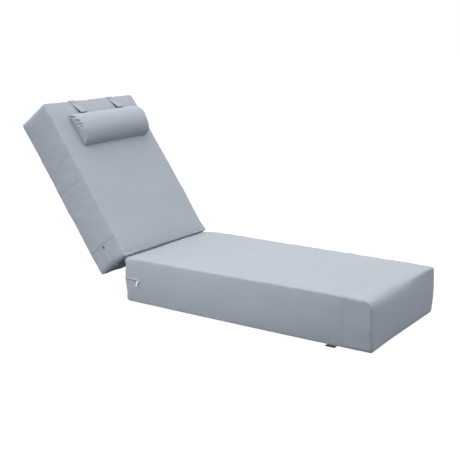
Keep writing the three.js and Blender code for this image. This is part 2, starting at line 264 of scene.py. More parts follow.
class Skin:
    """A finished cover that cloth is laid on: finds the cover's surface under a place."""

    def __init__(self, mesh: bpy.types.Mesh) -> None:
        """Builds the search tree from a mesh.

        Args:
            mesh: the cover, in the frame that the places are given in.
        """
        polygons = [tuple(face.vertices) for face in mesh.polygons]
        self.tree = BVHTree.FromPolygons(coordinates(mesh).tolist(), polygons)

    def under(self, places: Array, outs: Array, reach: float = 40 * MM) -> Array:
        """Places on the cover straight under others.

        Args:
            places: rough places near the cover, of shape (n, 3).
            outs: the way out of the cover at each of them, of length 1.
            reach: how far outside the search starts.

        Returns:
            The places on the cover. Where the search finds nothing, the rough place stays.
        """
        found = places.copy()
        for i, (place, out) in enumerate(zip(places, outs)):
            hit = self.tree.ray_cast(Vector(place + out * reach), Vector(-out), 2 * reach)[0]
            if hit is not None:
                found[i] = hit
        return found


def curve_mesh(curve: bpy.types.Curve, lines: Iterable[Array], closed: bool) -> bpy.types.Mesh:
    """Turns a curve with straight-sided lines into a plain mesh.

    Args:
        curve: the curve, with its bevel and fill already set. It is used up.
        lines: points of each line, of shape (n, 3).
        closed: whether each line comes back to its start.

    Returns:
        The mesh.
    """
    for line in lines:
        spline = curve.splines.new("POLY")
        spline.points.add(len(line) - 1)
        for point, place in zip(spline.points, line):
            point.co = (*place, 1)
        spline.use_cyclic_u = closed
    carrier = bpy.data.objects.new("carrier", curve)
    bpy.context.scene.collection.objects.link(carrier)
    graph = bpy.context.evaluated_depsgraph_get()
    graph.update()
    mesh = bpy.data.meshes.new_from_object(carrier.evaluated_get(graph), depsgraph=graph)
    bpy.data.objects.remove(carrier)
    bpy.data.curves.remove(curve)
    return mesh


def plate(outlines: Iterable[Array], thick: float, bevel: float) -> bpy.types.Mesh:
    """Flat plate in the XY plane with rounded edges.

    Args:
        outlines: the rim and then the holes, as rows of x and y. The bevel is added outside the rim.
        thick: the plate's thickness.
        bevel: the radius of its edges.

    Returns:
        The mesh.
    """
    curve = bpy.data.curves.new("plate", "CURVE")
    curve.dimensions = "2D"
    curve.fill_mode = "BOTH"
    curve.extrude = thick / 2 - bevel
    curve.bevel_depth = bevel
    curve.bevel_resolution = 2
    return curve_mesh(curve, [np.pad(line, ((0, 0), (0, 1))) for line in outlines], True)


def wire(line: Array, radius: float) -> bpy.types.Mesh:
    """Round wire along a line of points, with closed ends."""
    curve = bpy.data.curves.new("wire", "CURVE")
    curve.dimensions = "3D"
    curve.bevel_depth = radius
    curve.bevel_resolution = 3
    curve.use_fill_caps = True
    return curve_mesh(curve, [line], False)


def joined(name: str, parts: Iterable[tuple[bpy.types.Mesh, Matrix]]) -> bpy.types.Object:
    """One piece made of several meshes, each with its pose. The meshes are used up."""
    points, faces = [], []
    for mesh, pose in parts:
        first = len(points)
        points.extend(moved(coordinates(mesh), pose).tolist())
        faces.extend([first + number for number in face.vertices] for face in mesh.polygons)
        bpy.data.meshes.remove(mesh)
    piece = new_piece(name, np.array(points), faces)
    piece.data.set_sharp_from_angle(angle=math.radians(45))
    return piece


def round_outline(length: float, wide: float, corner: float, steps: int = 6) -> Array:
    """Rim of a rectangle with round corners, as rows of x and y, about its middle."""
    rim = []
    for number, (a, b) in enumerate(((1, 1), (-1, 1), (-1, -1), (1, -1))):
        middle = np.array([a * (length / 2 - corner), b * (wide / 2 - corner)])
        turns = np.pi / 2 * (number + np.linspace(0, 1, steps + 1))
        rim.extend(middle + corner * np.stack([np.cos(turns), np.sin(turns)], 1))
    return np.array(rim)


# Node trees


class Nodes:
    """A node tree with short calls that add nodes and join them."""

    def __init__(self, tree: bpy.types.NodeTree) -> None:
        """Keeps the tree that the calls add to."""
        self.tree = tree

    def add(self, kind: str, feeds: dict | None = None, **settings: object) -> bpy.types.Node:
        """Adds a node.

        Args:
            kind: the node's type name.
            feeds: values or sockets for its inputs, by name or number.
            settings: the node's own properties.

        Returns:
            The new node.
        """
        node = self.tree.nodes.new(kind)
        for key, value in settings.items():
            setattr(node, key, value)
        for key, value in (feeds or {}).items():
            self.feed(node.inputs[key], value)
        return node

    def feed(self, socket: bpy.types.NodeSocket, value: object) -> None:
        """Joins a socket to an output, or sets its value."""
        if isinstance(value, bpy.types.NodeSocket):
            self.tree.links.new(value, socket)
        else:
            socket.default_value = value

    def math(self, operation: str, *values: object) -> bpy.types.NodeSocket:
        """Output of a Math node in a shader tree."""
        node = self.add("ShaderNodeMath", dict(enumerate(values)), operation=operation)
        return node.outputs[0]

    def blend(
        self, share: object, first: object, second: object, kind: str = "FLOAT"
    ) -> bpy.types.NodeSocket:
        """Output of a Mix node: first at share 0, second at share 1."""
        node = self.add("ShaderNodeMix", data_type=kind)
        numbers = {"FLOAT": (0, 2, 3, 0), "RGBA": (0, 6, 7, 2)}[kind]
        for number, value in zip(numbers, (share, first, second)):
            self.feed(node.inputs[number], value)
        return node.outputs[numbers[3]]


def shader_group(
    name: str, inputs: dict[str, str], outputs: dict[str, str]
) -> tuple[Nodes, bpy.types.Node, bpy.types.Node]:
    """Empty shader node group with its sockets.

    Args:
        name: the group's name.
        inputs: socket kind of each input, such as Float or Color.
        outputs: socket kind of each output.

    Returns:
        The group's nodes, its input node and its output node.
    """
    tree = bpy.data.node_groups.new(name, "ShaderNodeTree")
    for ends, way in ((inputs, "INPUT"), (outputs, "OUTPUT")):
        for label, kind in ends.items():
            tree.interface.new_socket(label, in_out=way, socket_type=f"NodeSocket{kind}")
    nodes = Nodes(tree)
    return nodes, nodes.add("NodeGroupInput"), nodes.add("NodeGroupOutput")


def weave_group() -> bpy.types.NodeTree:
    """Plain weave on the cloth map: colour, height and roughness of crossing yarns, with uneven dye and the
    painted shade of the shade attribute.

    Returns:
        The node group.
    """
    nodes, given, made = shader_group(
        "plain weave",
        {"Dye": "Color", **dict.fromkeys(("Yarn Pitch", "Yarn Contrast", "Unevenness", "Gloss"), "Float")},
        {"Colour": "Color", "Height": "Float", "Roughness": "Float"},
    )
    cloth = nodes.add("ShaderNodeUVMap", uv_map=CLOTH_MAP).outputs[0]
    parts = nodes.add("ShaderNodeSeparateXYZ", {0: cloth})
    counts = [nodes.math("DIVIDE", parts.outputs[i], given.outputs["Yarn Pitch"]) for i in (0, 1)]
    rounds = []
    for count in counts:
        middle = nodes.math("SUBTRACT", nodes.math("FRACT", count), 0.5)
        rounds.append(nodes.math("COSINE", nodes.math("MULTIPLY", middle, math.pi)))
    floors = [nodes.math("FLOOR", count) for count in counts]
    odd = nodes.math("PINGPONG", nodes.math("ADD", *floors), 1.0)
    # A yarn that lies on top is round across itself, and dips where it goes under.
    tops = [
        nodes.math("MULTIPLY", rounds[i], nodes.math("MULTIPLY_ADD", rounds[1 - i], 0.45, 0.55))
        for i in (0, 1)
    ]
    height = nodes.blend(odd, tops[0], tops[1])

    # Slubs: yarns that are a little thicker or darker for a stretch, along either thread way.
    slubs = []
    for scale in ((45, 900, 1), (900, 45, 1)):
        stretched = nodes.add("ShaderNodeVectorMath", {0: cloth, 1: scale}, operation="MULTIPLY")
        noise = nodes.add("ShaderNodeTexNoise", {0: stretched.outputs[0], "Scale": 1.0, "Detail": 1.0})
        slubs.append(noise.outputs["Fac"])
    slub = nodes.math("SUBTRACT", nodes.math("ADD", *slubs), 1.0)

    body = nodes.add("ShaderNodeTexCoord").outputs["Object"]
    clouds = nodes.add("ShaderNodeTexNoise", {0: body, "Scale": 7.0, "Detail": 3.0, "Roughness": 0.55})
    cloud = nodes.math("SUBTRACT", clouds.outputs["Fac"], 0.5)
    hues = nodes.add("ShaderNodeTexNoise", {0: body, "Scale": 16.0, "Detail": 2.0, "Roughness": 0.5})
    hue = nodes.math("SUBTRACT", hues.outputs["Fac"], 0.5)

    grain = nodes.math("MULTIPLY", nodes.math("SUBTRACT", height, 0.6), given.outputs["Yarn Contrast"])
    grain = nodes.math("MULTIPLY_ADD", slub, given.outputs["Yarn Contrast"], grain)
    uneven = nodes.math("MULTIPLY_ADD", cloud, given.outputs["Unevenness"], grain)
    # Painted shade: the shade attribute darkens the colour in seams, creases and under the pillow.
    shade = nodes.add("ShaderNodeAttribute", attribute_name=SHADE).outputs["Fac"]
    bright = nodes.math("ADD", nodes.math("MULTIPLY_ADD", shade, -SHADE_DEPTH, uneven), 1.0)
    dyed_and_shaded = nodes.add("ShaderNodeVectorMath", {0: given.outputs["Dye"], 1: bright}, operation="MULTIPLY")
    tint = nodes.add("ShaderNodeCombineXYZ", {
        0: nodes.math("MULTIPLY_ADD", hue, 0.035, 1.0),
        1: nodes.math("MULTIPLY_ADD", hue, -0.012, 1.0),
        2: nodes.math("MULTIPLY_ADD", hue, -0.03, 1.0),
    })
    tinted = {0: dyed_and_shaded.outputs[0], 1: tint.outputs[0]}
    colour = nodes.add("ShaderNodeVectorMath", tinted, operation="MULTIPLY")
    rough = nodes.math("MULTIPLY_ADD", height, -0.08, given.outputs["Gloss"])
    nodes.feed(made.inputs["Colour"], colour.outputs[0])
    nodes.feed(made.inputs["Height"], nodes.math("MULTIPLY_ADD", slub, 0.35, height))
    nodes.feed(made.inputs["Roughness"], nodes.math("MULTIPLY_ADD", cloud, 0.08, rough))
    return nodes.tree


def scuff_group() -> bpy.types.NodeTree:
    """Fine uneven gloss and tone of moulded or painted trim, on Object coordinates.

    Returns:
        The node group.
    """
    nodes, given, made = shader_group(
        "trim scuffs",
        {"Paint": "Color", "Gloss": "Float", "Amount": "Float"},
        {"Colour": "Color", "Height": "Float", "Roughness": "Float"},
    )
    body = nodes.add("ShaderNodeTexCoord").outputs["Object"]
    fine = nodes.add("ShaderNodeTexNoise", {0: body, "Scale": 900.0, "Detail": 3.0}).outputs["Fac"]
    broad = nodes.add("ShaderNodeTexNoise", {0: body, "Scale": 160.0, "Detail": 2.0}).outputs["Fac"]
    centred = nodes.math("SUBTRACT", broad, 0.5)
    bright = nodes.math("MULTIPLY_ADD", centred, given.outputs["Amount"], 1.0)
    colour = nodes.add("ShaderNodeVectorMath", {0: given.outputs["Paint"], 1: bright}, operation="MULTIPLY")
    nodes.feed(made.inputs["Colour"], colour.outputs[0])
    nodes.feed(made.inputs["Height"], fine)
    nodes.feed(made.inputs["Roughness"], nodes.math("MULTIPLY_ADD", centred, 0.3, given.outputs["Gloss"]))
    return nodes.tree


@dataclass(frozen=True)
class Finish:
    """A finish: a principled surface fed by one of the shared groups."""

    name: str
    group: bpy.types.NodeTree
    colour: tuple[float, float, float]
    gloss: float
    relief: float
    metallic: float = 0.0
    sheen: float = 0.0
    extras: tuple[tuple[str, float], ...] = ()

    def material(self) -> bpy.types.Material:
        """Builds the material with its surface, its group and a bump."""
        material = bpy.data.materials.new(self.name)
        material.use_nodes = True
        nodes = Nodes(material.node_tree)
        surface = material.node_tree.nodes["Principled BSDF"]
        group = nodes.add("ShaderNodeGroup", node_tree=self.group)
        dye = "Dye" if "Dye" in group.inputs else "Paint"
        group.inputs[dye].default_value = (*self.colour, 1.0)
        group.inputs["Gloss"].default_value = self.gloss
        for label, value in self.extras:
            group.inputs[label].default_value = value
        raised = nodes.add("ShaderNodeBump", {"Height": group.outputs["Height"], "Distance": self.relief})
        nodes.feed(surface.inputs["Base Color"], group.outputs["Colour"])
        nodes.feed(surface.inputs["Roughness"], group.outputs["Roughness"])
        nodes.feed(surface.inputs["Normal"], raised.outputs[0])
        surface.inputs["Metallic"].default_value = self.metallic
        surface.inputs["Sheen Weight"].default_value = self.sheen
        surface.inputs["Sheen Roughness"].default_value = 0.5
        surface.inputs["Specular IOR Level"].default_value = 0.3 if self.sheen else 0.5
        material.diffuse_color = (*self.colour, 1.0)
        return material


class Finishes:
    """Every finish on the cushion, built once."""

    def __init__(self) -> None:
        """Builds the two shared groups and the materials."""
        weave, scuffs = weave_group(), scuff_group()
        grey_blue = (0.30, 0.32, 0.35)
        cloth = (("Yarn Pitch", 1.1 * MM), ("Yarn Contrast", 0.09), ("Unevenness", 0.07))
        thread = (("Yarn Pitch", 0.4 * MM), ("Yarn Contrast", 0.2), ("Unevenness", 0.0))
        ribbed = (("Yarn Pitch", 1.6 * MM), ("Yarn Contrast", 0.3), ("Unevenness", 0.1))
        thread_grey, black, tape_grey = (0.47, 0.51, 0.57), (0.02, 0.022, 0.025), (0.2, 0.225, 0.26)
        woven = (
            Finish("cover_cloth", weave, grey_blue, 0.95, 0.16 * MM, sheen=0.12, extras=cloth),
            Finish("sewing_thread", weave, thread_grey, 0.8, 0.05 * MM, sheen=0.1, extras=thread),
            Finish("black_webbing", weave, black, 0.9, 0.4 * MM, sheen=0.1, extras=ribbed),
            Finish("zip_tape", weave, tape_grey, 0.9, 0.1 * MM, sheen=0.1, extras=thread),
        )
        self.cover, self.thread, self.webbing, self.tape = (finish.material() for finish in woven)
        scuff = (("Amount", 0.12),)
        moulded = (
            Finish("white_pull", scuffs, (0.86, 0.88, 0.9), 0.4, 0.05 * MM, extras=scuff),
            Finish("dark_slider", scuffs, (0.05, 0.055, 0.065), 0.5, 0.05 * MM, extras=scuff),
            Finish("zip_teeth", scuffs, (0.16, 0.18, 0.2), 0.45, 0.02 * MM, extras=scuff),
        )
        self.pull, self.slider, self.teeth = (finish.material() for finish in moulded)


# Repeated small things along a path


class Row(Enum):
    """How the small things of a row lie: along their path, or across it."""

    ALONG = 0.0
    ACROSS = math.pi / 2


def row_tree() -> bpy.types.NodeTree:
    """Geometry node tree that lays small rounded rods along a path of edges.

    Returns:
        The node tree.
    """
    tree = bpy.data.node_groups.new("rods along a path", "GeometryNodeTree")
    face = tree.interface
    face.new_socket("Geometry", in_out="INPUT", socket_type="NodeSocketGeometry")
    for label in ("Pitch", "Rod Length", "Rod Width", "Rod Height", "Turn"):
        face.new_socket(label, in_out="INPUT", socket_type="NodeSocketFloat")
    face.new_socket("Material", in_out="INPUT", socket_type="NodeSocketMaterial")
    face.new_socket("Geometry", in_out="OUTPUT", socket_type="NodeSocketGeometry")
    nodes = Nodes(tree)
    given = nodes.add("NodeGroupInput").outputs
    curve = nodes.add("GeometryNodeMeshToCurve", {0: given["Geometry"]}).outputs[0]
    spaced = {"Curve": curve, "Length": given["Pitch"]}
    stops = nodes.add("GeometryNodeResampleCurve", spaced, mode="LENGTH").outputs[0]
    rod = nodes.add("GeometryNodeMeshUVSphere", {"Segments": 8, "Rings": 5, "Radius": 0.5}).outputs[0]
    sides = {0: given["Rod Length"], 1: given["Rod Width"], 2: given["Rod Height"]}
    size = nodes.add("ShaderNodeCombineXYZ", sides)
    turn = nodes.add("ShaderNodeCombineXYZ", {2: given["Turn"]})
    rod = nodes.add("GeometryNodeTransform", {"Geometry": rod, "Scale": size.outputs[0]}).outputs[0]
    rod = nodes.add("GeometryNodeTransform", {"Geometry": rod, "Rotation": turn.outputs[0]}).outputs[0]
    tangent = nodes.add("GeometryNodeInputTangent").outputs[0]
    up = nodes.add("GeometryNodeInputNamedAttribute", {"Name": "up"}, data_type="FLOAT_VECTOR").outputs[0]
    facing = nodes.add("FunctionNodeAlignRotationToVector", {"Vector": up}, axis="Z").outputs[0]
    ahead = {"Rotation": facing, "Vector": tangent}
    facing = nodes.add("FunctionNodeAlignRotationToVector", ahead, axis="X", pivot_axis="Z").outputs[0]
    placed = {"Points": stops, "Instance": rod, "Rotation": facing}
    rods = nodes.add("GeometryNodeInstanceOnPoints", placed).outputs[0]
    solid = nodes.add("GeometryNodeRealizeInstances", {0: rods}).outputs[0]
    smooth = nodes.add("GeometryNodeSetShadeSmooth", {0: solid}).outputs[0]
    dressed = nodes.add("GeometryNodeSetMaterial", {0: smooth, "Material": given["Material"]}).outputs[0]
    nodes.add("NodeGroupOutput", {0: dressed})
    return tree


@dataclass(frozen=True)
class Rods:
    """Sizes of the small rods of one row: stitches, or the teeth of a zip."""

    pitch: float
    length: float
    width: float
    height: float
    lie: Row = Row.ALONG

    def along(
        self,
        name: str,
        tree: bpy.types.NodeTree,
        paths: Iterable[tuple[Array, Array]],
        material: bpy.types.Material,
    ) -> bpy.types.Object:
        """Lays the rods along paths.

        Args:
            name: the piece's name.
            tree: the shared node tree.
            paths: points of each path and the way up at each of them.
            material: the rods' material.

        Returns:
            The plain mesh object.
        """
        points, ups, edges = [], [], []
        for path, up in paths:
            first = len(points)
            points.extend(path.tolist())
            ups.extend(up.tolist())
            edges.extend((i, i + 1) for i in range(first, len(points) - 1))
        mesh = bpy.data.meshes.new(name)
        mesh.from_pydata(points, edges, [])
        write_vectors(mesh, "up", np.array(ups))
        piece = bpy.data.objects.new(name, mesh)
        bpy.context.scene.collection.objects.link(piece)
        modifier = piece.modifiers.new("rods", "NODES")
        modifier.node_group = tree
        values = {
            "Pitch": self.pitch,
            "Rod Length": self.length,
            "Rod Width": self.width,
            "Rod Height": self.height,
            "Turn": self.lie.value,
            "Material": material,
        }
        for item in tree.interface.items_tree:
            if item.in_out == "INPUT" and item.name in values:
                modifier[item.identifier] = values[item.name]
        settle(piece)
        dress(piece, material)
        if piece.data.uv_layers:
            piece.data.uv_layers[0].name = CLOTH_MAP
        return piece


STITCHES = Rods(pitch=4.2 * MM, length=3.4 * MM, width=0.9 * MM, height=0.7 * MM)
ZIP_TEETH = Rods(pitch=1.9 * MM, length=3.6 * MM, width=1.2 * MM, height=1.4 * MM, lie=Row.ACROSS)


# Filling


@dataclass(frozen=True)
class Filling:
    """How a cover is blown up by its filling, as a cloth simulation with pressure."""

    pressure: float = 4.0
    frames: int = 20
    slack: float = 4 * MM
    cap: float = 9 * MM
    growth: float = 0.006

    def swell(self, piece: bpy.types.Object, held: Array) -> None:
        """Blows up a closed cover, starting from a slightly smaller shape.

        Args:
            piece: the cover, whose vertices are moved.
            held: how firmly each vertex is held in place, from 0 to 1.
        """
        mesh = piece.data
        start = coordinates(mesh) - vertex_normals(mesh) * (self.slack * (1 - held))[:, None]
        place_vertices(mesh, start)
        trial = piece.copy()
        trial.data = mesh.copy()
        bpy.context.scene.collection.objects.link(trial)
        group = trial.vertex_groups.new(name="held")
        for level in np.unique(np.round(held, 2)):
            if level > 0:
                members = np.flatnonzero(np.round(held, 2) == level).tolist()
                group.add(members, float(level), "REPLACE")
        cloth = trial.modifiers.new("filling", "CLOTH")
        settings = cloth.settings
        settings.quality = 4
        settings.mass = 0.4
        settings.tension_stiffness = settings.compression_stiffness = 25
        settings.shear_stiffness = 12
        settings.bending_stiffness = 1.5
        settings.shrink_min = -self.growth
        settings.use_pressure = True
        settings.uniform_pressure_force = self.pressure
        settings.vertex_group_mass = "held"
        settings.effector_weights.gravity = 0
        cloth.point_cache.frame_start = 1
        cloth.point_cache.frame_end = self.frames
        scene = bpy.context.scene
        for number in range(1, self.frames + 1):
            scene.frame_set(number)
        graph = bpy.context.evaluated_depsgraph_get()
        blown = trial.evaluated_get(graph).to_mesh()
        step = coordinates(blown) - start
        trial.evaluated_get(graph).to_mesh_clear()
        scene.frame_set(1)
        bpy.data.objects.remove(trial)
        reach = np.linalg.norm(step, axis=1)
        limit = self.cap * np.tanh(reach / self.cap)
        place_vertices(mesh, start + unit(step) * limit[:, None])


# Boxed cushions


@dataclass
class BoxedCushion:
    """A boxed foam cushion in its own frame: X along, Y across, Z out of its lying face."""

    name: str
    node: str
    size: tuple[float, float, float]
    centre: Matrix
    zip_seam: float
    zip_height: float
    zip_end: int
    edge: float = 18 * MM
    cell: float = 11.5 * MM
    seed: int = 1
    groove: float = 0.4 * MM
    cross_depth: float = 0.5 * MM
    seam_lean: float = 0.0
    filling: Filling = field(default_factory=Filling)

    def __post_init__(self) -> None:
        """Works out the half sizes."""
        self.half = np.array(self.size) / 2
        self.skin: Skin | None = None

    def form(self, at: Array) -> Array:
        """Shift of the cover at places given from -1 to 1 along each axis. Each cushion has its own."""
        raise NotImplementedError

    def relief(self, place: Array) -> Array:
        """Small rise of the cover at places of the sharp block. Each cushion has its own."""
        raise NotImplementedError

    def held(self, place: Array) -> Array:
        """How firmly the cover is held at places of the sharp block, from 0 to 1."""
        return bump(self.seam_distance(place), 9 * MM)

    def stops(self, axis: int) -> Array:
        """Lattice stops along one axis: even on the flat part, closer at the edges and at the cross seam."""
        flat = self.half[axis] - self.edge
        edge = flat + edge_steps(self.edge)[1:]
        marks = [-flat, flat]
        if axis == 0:
            marks += [self.zip_seam - 4 * MM, self.zip_seam, self.zip_seam + 4 * MM]
        if axis == 2:
            marks += [self.zip_height]
        marks = sorted(marks)
        middle = [np.array(marks[:1])]
        for low, high in zip(marks, marks[1:]):
            count = max(1, math.ceil((high - low) / self.cell - 0.2))
            middle.append(np.linspace(low, high, count + 1)[1:])
        return np.concatenate([-edge[::-1], *middle, edge])

    def radii(self, sharp: Array) -> Array:
        """How round the edges are near places of the sharp block, along each axis."""
        return np.full_like(sharp, self.edge)

    def rounding(self, sharp: Array) -> tuple[Array, Array]:
        """Places of the rounded block for places of the sharp one, with the way out at each."""
        radii = self.radii(sharp)
        inner = np.clip(sharp, radii - self.half, self.half - radii)
        outs = unit((sharp - inner) / radii)
        return inner + outs * radii, unit(outs / radii)

    def cover_points(self, sharp: Array) -> Array:
        """Places of the dressed cover for places of the sharp block."""
        smooth, _ = self.rounding(sharp)
        return smooth + self.form(smooth / self.half)

    def seam_distance(self, place: Array) -> Array:
        """Distance over the cover from the seams round the two faces."""
        gap = np.maximum(self.half - np.abs(place), 0)
        return np.maximum(gap[:, 2], np.minimum(gap[:, 0], gap[:, 1]))

    def seam_spot(self, place: Array) -> Array:
        """The nearest place on the face seams, for wrinkles that run straight away from them."""
        gap = self.half - np.abs(place)
        spot = place.copy()
        side = np.where(place < 0, -1.0, 1.0) * self.half
        nearer_x = gap[:, 0] < gap[:, 1]
        spot[nearer_x, 0] = side[nearer_x, 0]
        spot[~nearer_x, 1] = side[~nearer_x, 1]
        spot[:, 2] = side[:, 2]
        return spot

    def boxing(self, place: Array) -> Array:
        """1 on the two long sides, 0 on the other faces."""
        return 1 - ease(self.half[1] - np.abs(place[:, 1]), 2 * MM, 12 * MM)

    def puckers(self, place: Array, amount: float) -> Array:
        """Small wrinkles that run away from the face seams, and the seams' own groove."""
        away = self.seam_distance(place)
        spot = self.seam_spot(place)
        fine = Ripples(self.seed + 11, 34 * MM).at(spot) * np.exp(-away / (16 * MM))
        broad = Ripples(self.seed + 12, 95 * MM).at(spot) * np.exp(-away / (45 * MM))
        groove = -self.groove * bump(away, 2.6 * MM)
        return groove + amount * (0.5 * fine + 0.9 * broad)

    def cross_seam(self, place: Array) -> Array:
        """Groove and lap of the seam across each long side, where the zip's panel begins."""
        off = (place[:, 0] - self.zip_seam + self.seam_lean * place[:, 2]) * self.zip_end
        lap = self.cross_depth * ease(off, -1 * MM, 1 * MM) * (1 - ease(off, 3 * MM, 12 * MM))
        return self.boxing(place) * (lap - self.cross_depth * bump(off, 2.2 * MM))

    def build(self) -> bpy.types.Object:
        """Makes the cover: lattice, filling, finer mesh, seams and wrinkles.

        Returns:
            The cover, still in the cushion's own frame.
        """
        stops = [self.stops(axis) for axis in range(3)]
        shape = [len(s) for s in stops]
        index = np.stack(np.meshgrid(*[np.arange(n) for n in shape], indexing="ij"), -1)
        outer = ((index == 0) | (index == np.array(shape) - 1)).any(-1)
        ids = np.full(shape, -1)
        ids[outer] = np.arange(outer.sum())
        sharp = np.stack([stops[a][index[outer][:, a]] for a in range(3)], 1)
        sharp[:, 0] -= self.seam_lean * sharp[:, 2] * bump(sharp[:, 0] - self.zip_seam, 40 * MM)
        faces, maps = [], []
        for axis in range(3):
            u, v = [(axis + 1) % 3, (axis + 2) % 3]
            for side in (0, -1):
                sheet = np.take(ids, side, axis)
                if u > v:
                    sheet = sheet.T
                quad = np.stack([sheet[:-1, :-1], sheet[1:, :-1], sheet[1:, 1:], sheet[:-1, 1:]], -1)
                quad = quad.reshape(-1, 4)
                if side == 0:
                    quad = quad[:, ::-1]
                faces.append(quad)
                shift = np.array([0.31 * axis, 0.17 * (side + 2)])
                # The weave runs along the panel on the boxing too.
                first, second = (u, v) if axis != 1 else (v, u)
                maps.append(sharp[quad.ravel()][:, [first, second]] + shift)
        piece = new_piece(self.name, self.cover_points(sharp), np.concatenate(faces), np.concatenate(maps))
        write_vectors(piece.data, "place", sharp)
        self.filling.swell(piece, self.held(sharp))
        refine(piece, 1)
        place = read_places(piece.data, "place")
        rise = self.relief(place)
        mesh = piece.data
        place_vertices(mesh, coordinates(mesh) + vertex_normals(mesh) * rise[:, None])
        # Painted shade: the colour is darker along the face seams' creases and in the cross seam's groove.
        creases = bump(self.seam_distance(place), 3.0 * MM)
        off = place[:, 0] - self.zip_seam + self.seam_lean * place[:, 2]
        across = self.boxing(place) * bump(off, 2.5 * MM)
        depth = min(1.0, self.cross_depth / MM)
        write_values(mesh, SHADE, np.clip(np.maximum(0.25 * creases, depth * across), 0, 1))
        mesh.attributes.remove(mesh.attributes["place"])
        self.skin = Skin(mesh)
        return piece

    def laid(self, sharp: Array) -> tuple[Array, Array]:
        """Places on the finished cover for places of the sharp block, with the way out at each.

        Args:
            sharp: places on the sharp block, of shape (n, 3).

        Returns:
            The places on the cover and the ways out.
        """
        _, outs = self.rounding(sharp)
        return self.skin.under(self.cover_points(sharp), outs), outs

    def finish(self, piece: bpy.types.Object, material: bpy.types.Material) -> None:
        place_vertices(piece.data, moved(coordinates(piece.data), self.centre))
        dress(piece, material)
        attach(piece, "root")
        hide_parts(self.node)


@dataclass
class SeatCushion(BoxedCushion):
    """The seat and leg part, lying flat. Its foot end is at +X."""

    crown: float = 3 * MM
    shoulder: float = 6 * MM
    near_lift: float = 7 * MM
    far_lift: float = 1.5 * MM
    far_drop: float = 4 * MM
    hinge_reach: float = 8 * MM
    taut_edge: float = 9 * MM
    foot_round: float = 36 * MM
    corner_reach: float = 6 * MM
    side_draw: float = 5 * MM
    foot_draw: float = 3 * MM
    foot_bow: float = 9 * MM
    foot_spread: float = 2 * MM
    bow: float = 3 * MM
    overhang: float = 4 * MM
    lean: float = 3 * MM
    corner_tuck: float = 7 * MM
    side_tuck: float = 3 * MM
    tuck_height: float = 110 * MM

    def form(self, at: Array) -> Array:
        """Crown, drawn-in sides, bowed boxing and the hinge end's overhang."""
        x, y, z = at.T
        across, along, belly = 1 - y**2, 1 - x**4, 1 - z**2
        low = 1 - ease((z + 1) * self.half[2], 0, self.tuck_height)
        foot, hinge = np.maximum(x, 0), np.maximum(-x, 0)
        foot_shift = self.foot_bow * belly - self.foot_draw + self.foot_spread * low
        tuck = self.side_tuck * (1 + hinge**2) + self.corner_tuck * foot**2
        side_shift = self.bow * belly * along - tuck * low
        corner = self.corner_reach * np.maximum(-y, 0) ** 2
        near, far = np.maximum(-y, 0) ** 6, np.maximum(y, 0) ** 6
        rim = near * self.near_lift * (1.15 * ease(x, -0.6, 0.8) - 0.15)
        rim += far * (self.far_lift * (1 - x**2) - self.far_drop * ease(x, -0.3, 1))
        top = self.crown * across * along + self.shoulder * (1 - y**10) * (1 - x**10)
        top += (rim - self.lean * x) * ease(x, -1, -0.8)
        shift = np.stack([
            foot**3 * (foot_shift * across + corner)
            - hinge**8 * (self.hinge_reach + (self.overhang - self.hinge_reach) * ease(z, 0.1, 0.85)),
            y**3 * side_shift - y * self.side_draw * (1 - x**2) * (1 - 0.8 * low),
            top * np.maximum(z, 0) ** 2,
        ], 1)
        # The foot end's upper edge is rounder near the near corner.
        past = np.stack([x, z], 1) * self.half[[0, 2]] - self.half[[0, 2]] + self.foot_round
        inside = (past > 0).all(1)
        share = 0.75 * (1 - ease(y, -0.2, 0.7)) * inside
        shift[:, [0, 2]] += share[:, None] * (unit(np.maximum(past, 1e-6)) * self.foot_round - past)
        return shift

    def radii(self, sharp: Array) -> Array:
        """Taut edges, rounder ones at the hinge end and along the bottom."""
        x, _, z = (sharp / self.half).T
        taut = (self.taut_edge - self.edge) * ease(x, -0.97, -0.85)
        upper = taut * ease(z, -0.9, -0.5)
        return self.edge + np.stack([taut, upper, upper], 1)

    def held(self, place: Array) -> Array:
        """The face seams, the taut foot end and the underside, which lies on the floor, are held."""
        under = 1 - ease(place[:, 2] + self.half[2], 1 * MM, 12 * MM)
        foot = ease(place[:, 0], self.half[0] - 150 * MM, self.half[0] - 50 * MM)
        return np.maximum(super().held(place), np.maximum(under, foot))

    def relief(self, place: Array) -> Array:
        """Seams, puckers and the slight unevenness of a full foam block, with a flat underside."""
        slow = 0.9 * MM * Ripples(self.seed + 1, 0.26).at(place)
        small = 0.25 * MM * Ripples(self.seed + 2, 0.08).at(place)
        rise = slow + small + self.puckers(place, 1.3 * MM) + self.cross_seam(place)
        return rise * ease(place[:, 2] + self.half[2], 0, 25 * MM)


